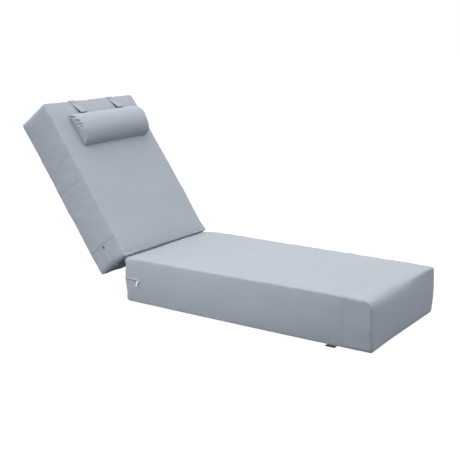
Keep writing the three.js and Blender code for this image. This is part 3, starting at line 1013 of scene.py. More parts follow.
@dataclass
class BackCushion(BoxedCushion):
    """The raised back. +X runs to the hinge and +Z out of the face that is lain on."""

    front_crown: float = 5.5 * MM
    rear_crown: float = 5.5 * MM
    rear_swell: float = 2.5 * MM
    head_draw: float = 1 * MM
    head_reach: float = 7 * MM
    head_roll: float = 5 * MM
    side_bow: float = 4 * MM
    side_flare: float = 4 * MM
    far_swell: float = 3 * MM
    head_bow: float = 3 * MM
    taut_edge: float = 8 * MM
    # How far the hinge end's rear edge stands out and up.
    heel_reach: float = 6 * MM
    heel_lift: float = 4 * MM

    def form(self, at: Array) -> Array:
        """Crowned faces, and drawn-in and bowed boxing."""
        x, y, z = at.T
        across, along, belly = 1 - y**2, 1 - x**4, 1 - z**2
        head, heel = np.maximum(-x, 0), np.maximum(x, 0) ** 8 * np.maximum(-z, 0)
        crown = np.where(z > 0, self.front_crown, self.rear_crown)
        drawn = (self.head_draw - self.head_bow * belly) * across - self.head_reach
        bowed = y**3 * self.side_bow * belly * along + y * self.side_flare * head**2
        full = np.sign(z) * z**2 * crown * across * along - np.minimum(z, 0) ** 2 * self.rear_swell * along
        rolled = np.maximum(z, 0) ** 2 * self.head_roll * ease(head, 0.8, 1.05)
        return np.stack([
            head**3 * drawn + self.heel_reach * heel,
            bowed + np.maximum(y, 0) ** 3 * self.far_swell,
            full - rolled + self.heel_lift * heel,
        ], 1)

    def radii(self, sharp: Array) -> Array:
        """Round edges, taut round the hinge end but for its rear edge."""
        x, _, z = (sharp / self.half).T
        taut = (self.taut_edge - self.edge) * ease(x, 0.84, 0.96)
        return self.edge + np.stack([taut, taut, taut * ease(z, -0.2, 0.4)], 1)

    def relief(self, place: Array) -> Array:
        """Seams, puckers and slight unevenness. The face stays even under the pillow."""
        slow = 0.8 * MM * Ripples(self.seed + 1, 0.24).at(place)
        small = 0.25 * MM * Ripples(self.seed + 2, 0.08).at(place)
        quiet = 1 - 0.8 * ease(place[:, 2], 0, self.half[2]) * (1 - ease(place[:, 0], -0.16, -0.12))
        quiet = quiet * (1 + 0.7 * self.boxing(place))
        return (slow + small) * quiet + self.puckers(place, 1.1 * MM) + self.cross_seam(place)

    def face_height(self, x: Array | float, y: Array | float) -> Array:
        """Height of the lying face's cover above the block's middle."""
        x, y = np.broadcast_arrays(np.asarray(x, float), np.asarray(y, float))
        at = np.stack([x / self.half[0], y / self.half[1], np.ones_like(x)], -1).reshape(-1, 3)
        return (self.half[2] + self.form(at)[:, 2]).reshape(x.shape)


# Head pillow


@dataclass
class HeadPillow:
    """D-section bolster.

    Angles run round its section: 0 at the lower edge, 90 on top and 180 at the upper edge.
    """

    back: BackCushion
    low_edge: float = 555 * MM
    depth: float = 167 * MM
    height: float = 64 * MM
    near_end: float = -187 * MM
    far_end: float = 226 * MM
    flat_edge: float = 10 * MM
    sag: float = 8 * MM
    swell: float = 0.04
    squareness: float = 0.4
    rim: float = 13 * MM
    seam_inset: float = 15 * MM
    pinch: float = 45 * MM
    skew: float = 0.0145
    ring_points: int = 144
    body_step: float = 7 * MM
    panel_rows: tuple[float, ...] = (13.8, 14.6, 15.4, 16.4, 18, 20, 22.5, 25, 27.5, 29.5, 31)
    far_lean: float = 12 * MM
    dome: float = 1.2
    fold_depth: float = 5 * MM
    fold_width: float = 4.5 * MM
    roll_offset: float = 8.5 * MM
    # Where each fold starts and ends in the section's plane, in millimetres, and its share of the depth.
    folds: tuple[tuple[tuple[float, float], tuple[float, float], float], ...] = (
        ((703, 17), (685, 50), 1.0),
        ((679, 24), (664, 50), 1.1),
        ((653, 33), (645, 54), 0.8),
        ((634, 44), (629, 57), 0.5),
    )

    def section(self, angle: Array, inset: float) -> tuple[Array, Array]:
        """Distance along the back and height of the section.

        Args:
            angle: degrees round the section.
            inset: how far inside the outer skin, in metres.

        Returns:
            The distances and the heights.
        """
        turn = np.radians(angle)
        c, s = np.cos(turn), np.sin(turn)
        left = 1 - inset / (self.height / 2)
        half_depth = self.depth / 2 - inset - self.pinch * ease(inset, self.height / 4, self.height / 2)
        middle = self.low_edge + self.depth / 2
        corner = inset + self.flat_edge * left
        squared_c = np.sign(c) * np.abs(c) ** self.squareness
        squared_s = np.sign(s) * np.abs(s) ** self.squareness
        sagged = self.sag * left * np.maximum(s, 0) ** 2
        distance = middle - half_depth * np.where(s >= 0, c, squared_c) - sagged
        over, under = self.height - inset - corner, corner - inset
        return distance, corner + np.where(s >= 0, over * np.abs(s) ** self.dome, under * squared_s)

    def point(self, angle: Array | float, y: Array | float, inset: float = 0.0) -> Array:
        """Places of the skin in the back's frame, at angles in degrees and a place across."""
        distance, height = self.section(np.asarray(angle, float), inset)
        middle = (self.near_end + self.far_end) / 2
        full = np.clip((np.asarray(y, float) - self.near_end) / (self.far_end - self.near_end), 0, 1)
        fuller = 1 + self.swell * (4 * full * (1 - full) - (1 - full) ** 6)
        x = self.back.half[0] - distance - self.skew * (np.asarray(y, float) - middle)
        x, z, y = np.broadcast_arrays(x, height * fuller, np.asarray(y, float))
        return np.stack([x, y, self.back.face_height(x, y) + TOUCH + z], -1)

    def ends(self) -> Array:
        """Rows of an end, from the body inwards: how far inside the skin, and how far out from the body."""
        turns = np.radians(np.linspace(0, 90, 9))
        rim = np.stack([self.rim * (1 - np.cos(turns)), self.rim * np.sin(turns)], 1)
        inset = np.array(self.panel_rows) * MM
        seam = 2.2 * MM * bump(inset - self.seam_inset, 1.3 * MM)
        full = 4 * MM * ease(inset, self.seam_inset, self.height / 2)
        return np.vstack([rim, np.stack([inset, self.rim - seam + full], 1)])

    def gathers(self, angle: Array, inset: float) -> Array:
        """How deep the folds lie where the body's cloth is gathered onto an end panel.

        Args:
            angle: degrees round the section.
            inset: how far inside the skin, in metres.

        Returns:
            The depth, in metres. It is below zero on the rolls between the folds.
        """
        place = np.stack(self.section(angle, inset), 1)
        depth = np.zeros_like(angle)
        for first, last, size in self.folds:
            start, run = np.array(first) * MM, (np.array(last) - first) * MM
            share = np.clip((place - start) @ run / (run @ run), 0, 1)
            gap = np.linalg.norm(place - start - share[:, None] * run, axis=1)
            roll = 0.3 * bump(gap - self.roll_offset, 4 * MM)
            depth += self.fold_depth * size * (bump(gap, self.fold_width) - roll)
        small = 0.35 * MM * np.sin(np.radians(angle) * 41 + 2 * np.sin(np.radians(angle) * 3))
        small = small * bump(inset - 12 * MM, 5 * MM) * ease(angle, 5, 25) * (1 - ease(angle, 160, 178))
        return depth + small

    def rings(self) -> tuple[Array, Array, Array]:
        """All rings of the skin, from the near end's middle to the far end's.

        Returns:
            The places of shape (rings, points, 3), each ring's inset, and the cloth's length to each ring.
        """
        angles = 360.0 * np.arange(self.ring_points) / self.ring_points
        body = np.linspace(
            self.near_end, self.far_end, round((self.far_end - self.near_end) / self.body_step) + 1
        )
        ends = self.ends()
        rows = [(inset, out, self.near_end, -1) for inset, out in ends[:0:-1]]
        rows += [(0.0, 0.0, y, 0) for y in body]
        rows += [(inset, out, self.far_end, 1) for inset, out in ends[1:]]
        points, reach = [], []
        middle = (self.near_end + self.far_end) / 2
        upper = ease(angles, 80, 125) * (1 - ease(angles, 140, 175))
        for inset, out, y, side in rows:
            ring = self.point(angles, y, inset)
            ring[:, 1] += self.far_lean * upper * max(0, (y - middle) / (self.far_end - middle)) ** 2
            ring[:, 1] += side * (out - self.gathers(angles, inset) * (1.0 if side < 0 else 0.7))
            points.append(ring)
            reach.append(y + side * (out + inset))
        return np.stack(points), np.array([row[0] for row in rows]), np.array(reach)

    def build(self) -> bpy.types.Object:
        """Makes the pillow's cover: body, rounded rims, gathered end panels and filling.

        Returns:
            The cover, in the back's own frame.
        """
        rings, insets, reach = self.rings()
        count, wide, _ = rings.shape
        girth = lengths_along(self.point(np.linspace(0, 360, wide + 1), self.near_end))
        ids = np.arange(count * wide).reshape(count, wide)
        after = np.roll(ids, -1, axis=1)
        faces = np.stack([ids[:-1], ids[1:], after[1:], after[:-1]], -1).reshape(-1, 4)
        columns = np.tile(np.arange(wide), count - 1)
        rows = np.repeat(np.arange(count - 1), wide)
        flat = rings.reshape(-1, 3)
        maps = np.stack([
            np.stack([reach[rows + step], girth[columns + side]], 1)
            for step, side in ((0, 0), (1, 0), (1, 1), (0, 1))
        ], 1)
        panel = np.minimum(insets[rows], insets[rows + 1]) > self.seam_inset - 1 * MM
        maps[panel] = flat[faces[panel]][:, :, [0, 2]]
        caps = []
        for row, turned in ((0, False), (count - 1, True)):
            flat = np.vstack([flat, rings[row].mean(0)])
            ring = zip(ids[row], after[row])
            caps += [[len(flat) - 1, b, a] if turned else [len(flat) - 1, a, b] for a, b in ring]
        cap_maps = flat[np.array(caps).ravel()][:, [0, 2]]
        all_maps = np.vstack([maps.reshape(-1, 2), cap_maps])
        piece = new_piece("pillow_cover", flat, faces.tolist() + caps, all_maps)
        inside = np.append(np.repeat(insets, wide), [self.height / 2] * 2)
        seam = bump(inside - self.seam_inset, 1.2 * MM)
        # Painted shade: the colour is up to a fifth darker on the lower side, where the round side turns
        # under, and a little darker along the end panels' seams.
        places = coordinates(piece.data)
        height = places[:, 2] - self.back.face_height(places[:, 0], places[:, 1])
        below = ease(self.back.half[0] - places[:, 0], self.low_edge + self.depth / 2, self.low_edge)
        deep = below * (1 - ease(height, 20 * MM, 64 * MM)) * (1 - ease(inside, 2 * MM, 8 * MM))
        write_values(piece.data, SHADE, np.maximum(0.35 * seam, 0.95 * deep))
        place = coordinates(piece.data)
        low = 1 - ease(place[:, 2] - self.back.face_height(place[:, 0], place[:, 1]), 3 * MM, 12 * MM)
        held = np.maximum(low, ease(inside, 4 * MM, 9 * MM))
        Filling(slack=2 * MM, cap=3 * MM, growth=0.004).swell(piece, held)
        refine(piece, 1)
        mesh = piece.data
        place = coordinates(mesh)
        broad = Ripples(301, 70 * MM).at(place * (1.0, 0.35, 1.0)) * 0.35 * MM
        ends = np.minimum(place[:, 1] - self.near_end, self.far_end - place[:, 1])
        creases = Ripples(302, 26 * MM).at(place * (1.0, 0.25, 1.0)) * 0.6 * MM * bump(ends, 20 * MM)
        above = ease(place[:, 2] - self.back.face_height(place[:, 0], place[:, 1]), 4 * MM, 22 * MM)
        place_vertices(mesh, place + vertex_normals(mesh) * ((broad + creases) * above)[:, None])
        return piece


# Cloth strips


def ways_out(grid: Array, outs: Array) -> Array:
    """Unit normals of a grid of points, turned to the same side as the given ways out."""
    ahead, across = np.gradient(grid, axis=0), np.gradient(grid, axis=1)
    normals = unit(np.cross(ahead, across))
    turned = np.sign((normals * outs).sum(-1, keepdims=True))
    return normals * np.where(turned == 0, 1, turned)


def seam_line(
    grid: Array, outs: Array, column: int, lift: float, step: float = 3 * MM
) -> tuple[Array, Array]:
    """Path for stitches along one column of a grid, with the way up at each of its points."""
    line = grid[:, column] + outs[:, column] * lift
    even = evenly(line, step)
    stops, reach = lengths_along(even), lengths_along(line)
    ups = np.stack([np.interp(stops, reach, values) for values in outs[:, column].T], 1)
    return even, unit(ups)


@dataclass
class Strap:
    """One of the pillow's two cloth straps: sewn to its upper edge, over the head end and down the rear."""

    name: str
    middle: float
    back: BackCushion
    pillow: HeadPillow
    width: float = 40 * MM
    thick: float = 1.5 * MM
    rear_reach: float = 120 * MM
    landing: float = 779 * MM
    sewn: tuple[float, ...] = (182.0, 177.0, 172.0)
    slant: float = 13 * MM
    gap: float = 0.4 * MM
    crown: float = 1.6 * MM
    columns: int = 11

    def __post_init__(self) -> None:
        """Works out the grid of places and the ways out."""
        across = np.linspace(-self.width / 2, self.width / 2, self.columns)
        sides = [self.line(self.middle + y, 1 - (2 * y / self.width) ** 4) for y in across]
        self.grid = np.stack([places for places, _ in sides], 1)
        self.outs = ways_out(self.grid, np.stack([outs for _, outs in sides], 1))
        self.across = across
        self.along = lengths_along(self.grid[:, self.columns // 2])

    def line(self, y: float, fullness: float) -> tuple[Array, Array]:
        """Places of the strap at one place across, with the way out at each.

        Args:
            y: the place across the back.
            fullness: 1 at the strap's middle and 0 at its edges, which lie lower.

        Returns:
            The places and the ways out, in the back's frame.
        """
        half = self.back.half
        flat = half - self.back.edge
        turn = edge_steps(self.back.edge)
        lay_x = np.linspace(half[0] - self.landing, -flat[0], 4)
        head_z = np.linspace(flat[2], -flat[2], 28)[1:-1]
        down = np.concatenate([flat[2] + turn[-2::-1], head_z, -flat[2] - turn[:-1]])
        tail_x = np.linspace(-flat[0], -half[0] + self.rear_reach, 18)[1:]
        rear_x = np.concatenate([-flat[0] - turn[::-1], tail_x])
        x = np.concatenate([lay_x, -flat[0] - turn[1:], np.full(len(down), -half[0]), rear_x])
        front_z = np.full(len(lay_x) + len(turn) - 1, half[2])
        z = np.concatenate([front_z, down, np.full(len(rear_x), -half[2])])
        upper = half[0] - self.pillow.low_edge - self.pillow.depth
        slanted = y + self.slant * np.clip((x + half[0]) / (upper + half[0]), 0, 1)
        laid, outs = self.back.laid(np.stack([x, slanted, z], 1))
        lift = self.gap + self.thick / 2
        full = self.crown * fullness * ease(np.arange(len(x)), 0, 6)
        laid = laid + outs * (lift + full)[:, None]
        start = self.pillow.point(np.array(self.sewn), y + self.slant) - (lift, 0, 0)
        # The free stretch leaves the pillow's seam, runs almost straight and comes down on the face.
        chord = laid[0] - start[-1]
        leave, land = chord / 2 + (0, 0, 2.5 * MM), chord / 2 + (0, 0, 1.5 * MM)
        t = np.linspace(0, 1, 10)[1:-1, None]
        free = ((2 * t**3 - 3 * t**2 + 1) * start[-1] + (t**3 - 2 * t**2 + t) * leave * 2
                + (3 * t**2 - 2 * t**3) * laid[0] + (t**3 - t**2) * land * 2)
        up = np.tile((0.0, 0.0, 1.0), (len(free), 1))
        away = np.tile((-1.0, 0.0, 0.0), (len(start), 1))
        return np.vstack([start, free, laid]), np.vstack([away, up, outs])

    def build(self) -> bpy.types.Object:
        """Makes the strap as a thin sheet, in the back's own frame."""
        piece = strip_piece(f"{self.name}_cloth", self.grid, self.along, self.across)
        thicken(piece, self.thick)
        write_values(piece.data, SHADE, np.zeros(len(piece.data.vertices)))
        return piece

    def stitch_paths(self) -> list[tuple[Array, Array]]:
        """Stitch lines near both edges, with the way up, in the back's frame."""
        return [seam_line(self.grid, self.outs, column, self.thick / 2 + 0.1 * MM) for column in (1, -2)]


@dataclass
class HingeStrip:
    """Cloth strip that joins the two cushions, folded in their crease.

    X runs out of the back's hinge end.
    """

    seat: SeatCushion
    hinge: Matrix
    length: float = 570 * MM
    thick: float = 1.2 * MM
    gap: float = 0.6 * MM
    fold_depth: float = 13 * MM
    back_leg: float = 16 * MM
    seat_leg: float = 8 * MM

    def arc(self, centre: Array, radius: float, start: float, stop: float, steps: int) -> Array:
        """Points of an arc, both ends included."""
        turns = np.linspace(start, stop, steps + 1)
        return centre + radius * np.stack([np.cos(turns), np.sin(turns)], 1)

    def line(self) -> Array:
        """Middle line in the hinge's frame: up the back's end, round the fold and over the seat's edge."""
        lift = self.gap + self.thick / 2
        seat, edge = self.seat, self.seat.edge
        turned = np.array([[math.cos(RECLINE), -math.sin(RECLINE)], [math.sin(RECLINE), math.cos(RECLINE)]])
        hinge = np.array([self.hinge.translation.x, self.hinge.translation.z])
        centre = turned @ (np.array([-seat.half[0] - seat.overhang + edge, seat.size[2] - edge]) - hinge)
        hug = edge + lift
        rise, run = -self.fold_depth - centre[1], centre[0] - lift
        fold = (run**2 + rise**2 - hug**2) / (2 * (run + hug))
        middle = np.array([lift + fold, -self.fold_depth])
        meet = math.atan2(middle[1] - centre[1], middle[0] - centre[0]) % (2 * math.pi)
        over = self.arc(centre, hug, meet, math.pi + RECLINE, 8)
        start = np.array([[lift, -self.fold_depth - self.back_leg]])
        end = over[-1] + turned @ np.array([0, -self.seat_leg])
        return np.vstack([start, self.arc(middle, fold, math.pi, meet - math.pi, 14), over[1:], end])

    def build(self) -> bpy.types.Object:
        """Makes the strip in the hinge's frame."""
        line = evenly(self.line(), 2.5 * MM)
        across = np.linspace(-self.length / 2, self.length / 2, 96)
        grid = np.stack([np.stack([line[:, 0], np.full(len(line), y), line[:, 1]], 1) for y in across], 1)
        grid[:, :, 0] += 0.25 * MM * Ripples(71, 40 * MM).at(grid.reshape(-1, 3)).reshape(grid.shape[:2])
        piece = strip_piece("hinge_cloth", grid, lengths_along(line), across)
        thicken(piece, self.thick)
        return piece

    def width(self) -> float:
        """The strip's flat width, from its edge on the back to its edge on the seat."""
        return float(lengths_along(self.line())[-1])


@dataclass
class ZipFlap:
    """Raised flap of cloth over a zip, round one end of a cushion, with the zip behind its lip."""

    name: str
    cushion: BoxedCushion
    end: int
    reach: float
    gape_at: float
    gape: float = 2.2 * MM
    height: float = 8 * MM
    thick: float = 0.9 * MM
    lip: float = 1.5 * MM
    columns: int = 7
    droop: float = 0.0

    def plan(self, step: float = 5 * MM) -> Array:
        """Places on the sharp block round the end, from near side to far side, as rows of x and y."""
        half = self.cushion.half
        flat = half - self.cushion.edge
        turn = edge_steps(self.cushion.edge, 5)
        side_count = math.ceil((self.reach - self.cushion.edge) / step) + 1
        side = np.linspace(half[0] - self.reach, flat[0], side_count)
        width = np.linspace(-flat[1], flat[1], math.ceil(2 * flat[1] / step) + 1)
        near = [(x, -half[1]) for x in side] + [(flat[0] + t, -half[1]) for t in turn[1:]]
        near += [(half[0], -flat[1] - t) for t in turn[-2:0:-1]]
        far = [(x, -y) for x, y in reversed(near)]
        return np.array(near + [(half[0], y) for y in width] + far) * (self.end, 1)

    def grid(self, drop: Array, out: Array) -> tuple[Array, Array]:
        """Places over the cover round the end.

        Args:
            drop: how far below the flap's middle each column lies.
            out: how far each column stands off the cover.

        Returns:
            The places and the ways out, of shape (stops, columns, 3).
        """
        plan = self.plan()
        places, outs = [], []
        half = self.cushion.half[1]
        near = ease(-plan[:, 1], half - 150 * MM, half - self.cushion.edge)
        past = (plan[:, 0] - self.gape_at) * -self.end
        gape = near * bump(past, 17 * MM)
        ends = 1.5 * ease(past, 12 * MM, 42 * MM) + 1.6 * ease(-past, 15 * MM, 60 * MM)
        level = self.cushion.zip_height + self.droop * near * (bump(past, 45 * MM) - ends)
        for fall, lift in zip(drop, out):
            sharp = np.column_stack([plan, level - fall])
            laid, way = self.cushion.laid(sharp)
            share = ease(fall, -self.height / 2, self.height / 2)
            places.append(laid + way * (lift + self.gape * gape * share)[:, None])
            outs.append(way)
        places, outs = np.stack(places, 1), np.stack(outs, 1)
        return places, ways_out(places, outs)

    def build(self) -> tuple[bpy.types.Object, float]:
        """Makes the flap and gives its length along the zip."""
        share = np.linspace(0, 1, self.columns)
        drop = (share - 0.5) * self.height
        places, _ = self.grid(drop, self.thick / 2 + 0.15 * MM + self.lip * share**1.4)
        along = lengths_along(places[:, 0])
        piece = strip_piece(f"{self.name}_cloth", places, along, drop)
        thicken(piece, self.thick)
        return piece, float(along[-1])

    def tape(self) -> bpy.types.Object:
        """Makes the zip's tape, which shows just below the flap's lip."""
        drop = np.array([-1.0, 1.0, 3.0, 5.2]) * MM + 0.5 * MM
        places, _ = self.grid(drop, np.full(4, 0.35 * MM))
        piece = strip_piece(f"{self.name}_tape", places, lengths_along(places[:, 0]), drop)
        thicken(piece, 0.4 * MM)
        return piece

    def rows(self, drop: float, out: float) -> list[tuple[Array, Array]]:
        """One path round the end for stitches or teeth, with the way up."""
        places, outs = self.grid(np.array([drop - 0.5 * MM, drop]), np.array([out, out]))
        return [seam_line(places, outs, 1, 0.0)]


@dataclass(frozen=True)
class ZipSlider:
    """Slider of a zip, in its own frame: X along the zip, Y up the cover and Z out of it."""

    length: float = 11 * MM
    height: float = 7 * MM
    thick: float = 4.5 * MM

    def outline(self, inset: float) -> Array:
        """Rim of either plate: square at the closed end, narrower at the nose."""
        rim = round_outline(self.length - 2 * inset, self.height - 2 * inset, 1.6 * MM)
        rim[:, 1] *= 1 - 0.3 * ease(rim[:, 0], 0, self.length / 2)
        return rim

    def build(self, name: str) -> bpy.types.Object:
        """Makes the slider: two plates, the post between them and the loop for the pull."""
        bevel, leaf = 0.4 * MM, 1.2 * MM
        base = -self.thick / 2 + leaf / 2
        turns = np.linspace(0, math.pi, 11)
        loop = np.stack([3.2 * MM * np.cos(turns), np.zeros(11), 1.5 * MM * np.sin(turns)], 1)
        loop += (0, 0, self.thick / 2 - 2.1 * MM)
        return joined(name, [
            (plate([self.outline(bevel)], leaf, bevel), Matrix.Translation((0, 0, base))),
            (plate([self.outline(bevel)], leaf, bevel), Matrix.Translation((0, 0, base + 1.9 * MM))),
            (plate([round_outline(2.4 * MM, 2 * MM, 0.6 * MM)], 2.4 * MM, 0.3 * MM),
             Matrix.Translation((2.2 * MM, 0, base + 0.9 * MM))),
            (wire(loop, 0.55 * MM), Matrix.Identity(4)),
        ])


@dataclass(frozen=True)
class ZipPull:
    """Flat pull with an eye, in its own frame: X from the eye to the tip, Z out of its face."""

    length: float = 25 * MM
    wide: float = 6.5 * MM
    thick: float = 2 * MM
    eye: float = 1.5 * MM

    def build(self, name: str) -> bpy.types.Object:
        """Makes the pull with its eye and a slightly narrower waist."""
        bevel = 0.5 * MM
        rim = round_outline(self.length - 2 * bevel, self.wide - 2 * bevel, 2.2 * MM, 8)
        rim = evenly(np.vstack([rim, rim[:1]]), 0.8 * MM)[:-1]
        rim[:, 1] *= 1 - 0.16 * bump(rim[:, 0] + 2 * MM, 6 * MM)
        turns = np.linspace(0, 2 * math.pi, 21)[:-1]
        hole = (self.eye + bevel) * np.stack([np.cos(turns), np.sin(turns)], 1)
        hole += (-self.length / 2 + self.wide / 2, 0)
        return joined(name, [(plate([rim, hole], self.thick, bevel), Matrix.Identity(4))])


@dataclass(frozen=True)
class WebbingEnd:
    """Cut end of a webbing strap that lies on the floor and shows under the seat's near edge."""

    low: tuple[float, float, float]
    high: tuple[float, float, float]
    gap: float = 0.2 * MM

    def build(self) -> tuple[bpy.types.Object, tuple[float, float]]:
        """Makes the end with its ribs and slightly frayed cut, and gives its flat size."""
        rows, columns = 24, 83
        thick = self.high[2] - self.low[2] - 2 * self.gap
        across = np.linspace(self.low[0], self.high[0], columns)
        along = np.linspace(self.high[1] + 1.5 * MM, self.low[1] + 1 * MM, rows)
        grid = np.stack(np.meshgrid(along, across, indexing="ij")[::-1] + [np.zeros((rows, columns))], -1)
        rib = 0.12 * MM * np.sin(grid[:, :, 0] * 2 * math.pi / (2 * MM))
        fray = 0.5 * MM * Ripples(91, 5 * MM).at(grid.reshape(-1, 3)).reshape(rows, columns)
        grid[:, :, 1] += fray * ease(np.arange(rows), rows - 8, rows - 1)[:, None]
        grid[:, :, 2] = self.gap + thick / 2 + rib
        piece = strip_piece("webbing_end", grid, along, across)
        thicken(piece, thick - 0.25 * MM)
        return piece, (float(across[-1] - across[0]), float(along[0] - along[-1]))


# The whole


@dataclass(frozen=True)
class Studio:
    """Pale floor, soft lights and the camera."""

    target: tuple[float, float, float] = (-0.2341, 0.0, 0.31196)
    distance: float = 3.8095
    azimuth: float = math.radians(35.84)
    elevation: float = math.radians(13.27)
    roll: float = math.radians(-1.14)
    focal: float = 861.4
    picture: float = 460.0
    room: float = 0.74
    grade: tuple[float, float, float] = (-0.12, 0.18, 1.14)
    shade: tuple[float, float, float] = (0.0, 0.05, 0.1)
    overhead: float = 42
    front: float = 7.5
    floor_reach: float = 30

    def camera(self) -> None:
        """Makes the scene's camera."""
        data = bpy.data.cameras.new("camera")
        data.sensor_width = 36
        data.lens = self.focal / self.picture * 36
        back = Vector((
            math.sin(self.azimuth) * math.cos(self.elevation),
            -math.cos(self.azimuth) * math.cos(self.elevation),
            math.sin(self.elevation),
        ))
        right = Vector((math.cos(self.azimuth), math.sin(self.azimuth), 0))
        up = back.cross(right)
        turned = right * math.cos(self.roll) + up * math.sin(self.roll)
        raised = up * math.cos(self.roll) - right * math.sin(self.roll)
        camera = bpy.data.objects.new("camera", data)
        pose = Matrix((turned, raised, back)).transposed().to_4x4()
        pose.translation = Vector(self.target) + back * self.distance
        camera.matrix_world = pose
        bpy.context.scene.collection.objects.link(camera)
        bpy.context.scene.camera = camera

    def floor(self) -> None:
        """Makes the pale floor, which shows only faint shadows and throws no light back."""
        corners = np.array([[-1, -1, 0], [1, -1, 0], [1, 1, 0], [-1, 1, 0]], float) * self.floor_reach
        piece = new_piece("floor", corners, [[0, 1, 2, 3]])
        material = bpy.data.materials.new("pale_floor")
        material.use_nodes = True
        surface = material.node_tree.nodes["Principled BSDF"]
        surface.inputs["Base Color"].default_value = (0.12, 0.12, 0.12, 1)
        surface.inputs["Roughness"].default_value = 0.9
        surface.inputs["Specular IOR Level"].default_value = 0.0
        surface.inputs["Emission Color"].default_value = (1, 1, 1, 1)
        surface.inputs["Emission Strength"].default_value = 0.9
        dress(piece, material)
        piece.visible_diffuse = False
        piece.visible_glossy = False

    def lamp(
        self,
        name: str,
        place: Sequence[float],
        aim: Sequence[float],
        size: tuple[float, float],
        power: float,
    ) -> None:
        """Makes one soft rectangular light.

        Args:
            name: the light's name.
            place: where it stands.
            aim: the point it faces.
            size: its width and height.
            power: its power in watts.
        """
        data = bpy.data.lights.new(name, "AREA")
        data.shape = "RECTANGLE"
        data.size, data.size_y = size
        data.energy = power
        lamp = bpy.data.objects.new(name, data)
        lamp.location = place
        lamp.rotation_euler = (Vector(aim) - Vector(place)).to_track_quat("-Z", "Y").to_euler()
        bpy.context.scene.collection.objects.link(lamp)

    def light(self) -> None:
        """Makes the soft light: a room that is bright above and dark below, and two lamps.

        One lamp is wide and hangs above. The other is small and stands in front, low down. The room's
        light is a little bluer where it is weak, as in the shade.
        """
        self.lamp("overhead", (-1.0, -1.2, 3.6), (-0.2, 0, 0.3), (3.0, 3.0), self.overhead)
        self.lamp("front", (-0.45, -1.7, 0.3), (-0.45, 0, 0.3), (0.7, 0.3), self.front)
        world = bpy.data.worlds.new("room")
        bpy.context.scene.world = world
        world.use_nodes = True
        nodes = Nodes(world.node_tree)
        room = world.node_tree.nodes["Background"]
        way = nodes.add("ShaderNodeTexCoord").outputs["Generated"]
        graded = nodes.add("ShaderNodeVectorMath", {0: way, 1: self.grade}, operation="DOT_PRODUCT")
        bright = nodes.math("MAXIMUM", nodes.math("ADD", graded.outputs["Value"], self.room), 0.0)
        channels = [nodes.math("ADD", bright, shade) for shade in self.shade]
        colour = nodes.add("ShaderNodeCombineXYZ", dict(enumerate(channels))).outputs[0]
        seen = nodes.add("ShaderNodeLightPath").outputs["Is Camera Ray"]
        nodes.feed(room.inputs["Color"], nodes.blend(seen, colour, (1, 1, 1, 1), "RGBA"))

    def build(self) -> None:
        """Makes the camera, the floor, the lights and the plain colour handling."""
        self.camera()
        self.floor()
        self.light()
        bpy.context.scene.view_settings.view_transform = "Standard"


def put_in_place(piece: bpy.types.Object, pose: Matrix, material: bpy.types.Material) -> None:
    """Carries a piece from its own frame into place, dresses it and lets it ride.

    Args:
        piece: the piece, in the frame that the pose carries.
        pose: where that frame lies.
        material: the piece's finish.
    """
    place_vertices(piece.data, moved(coordinates(piece.data), pose))
    dress(piece, material)
    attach(piece, "root")


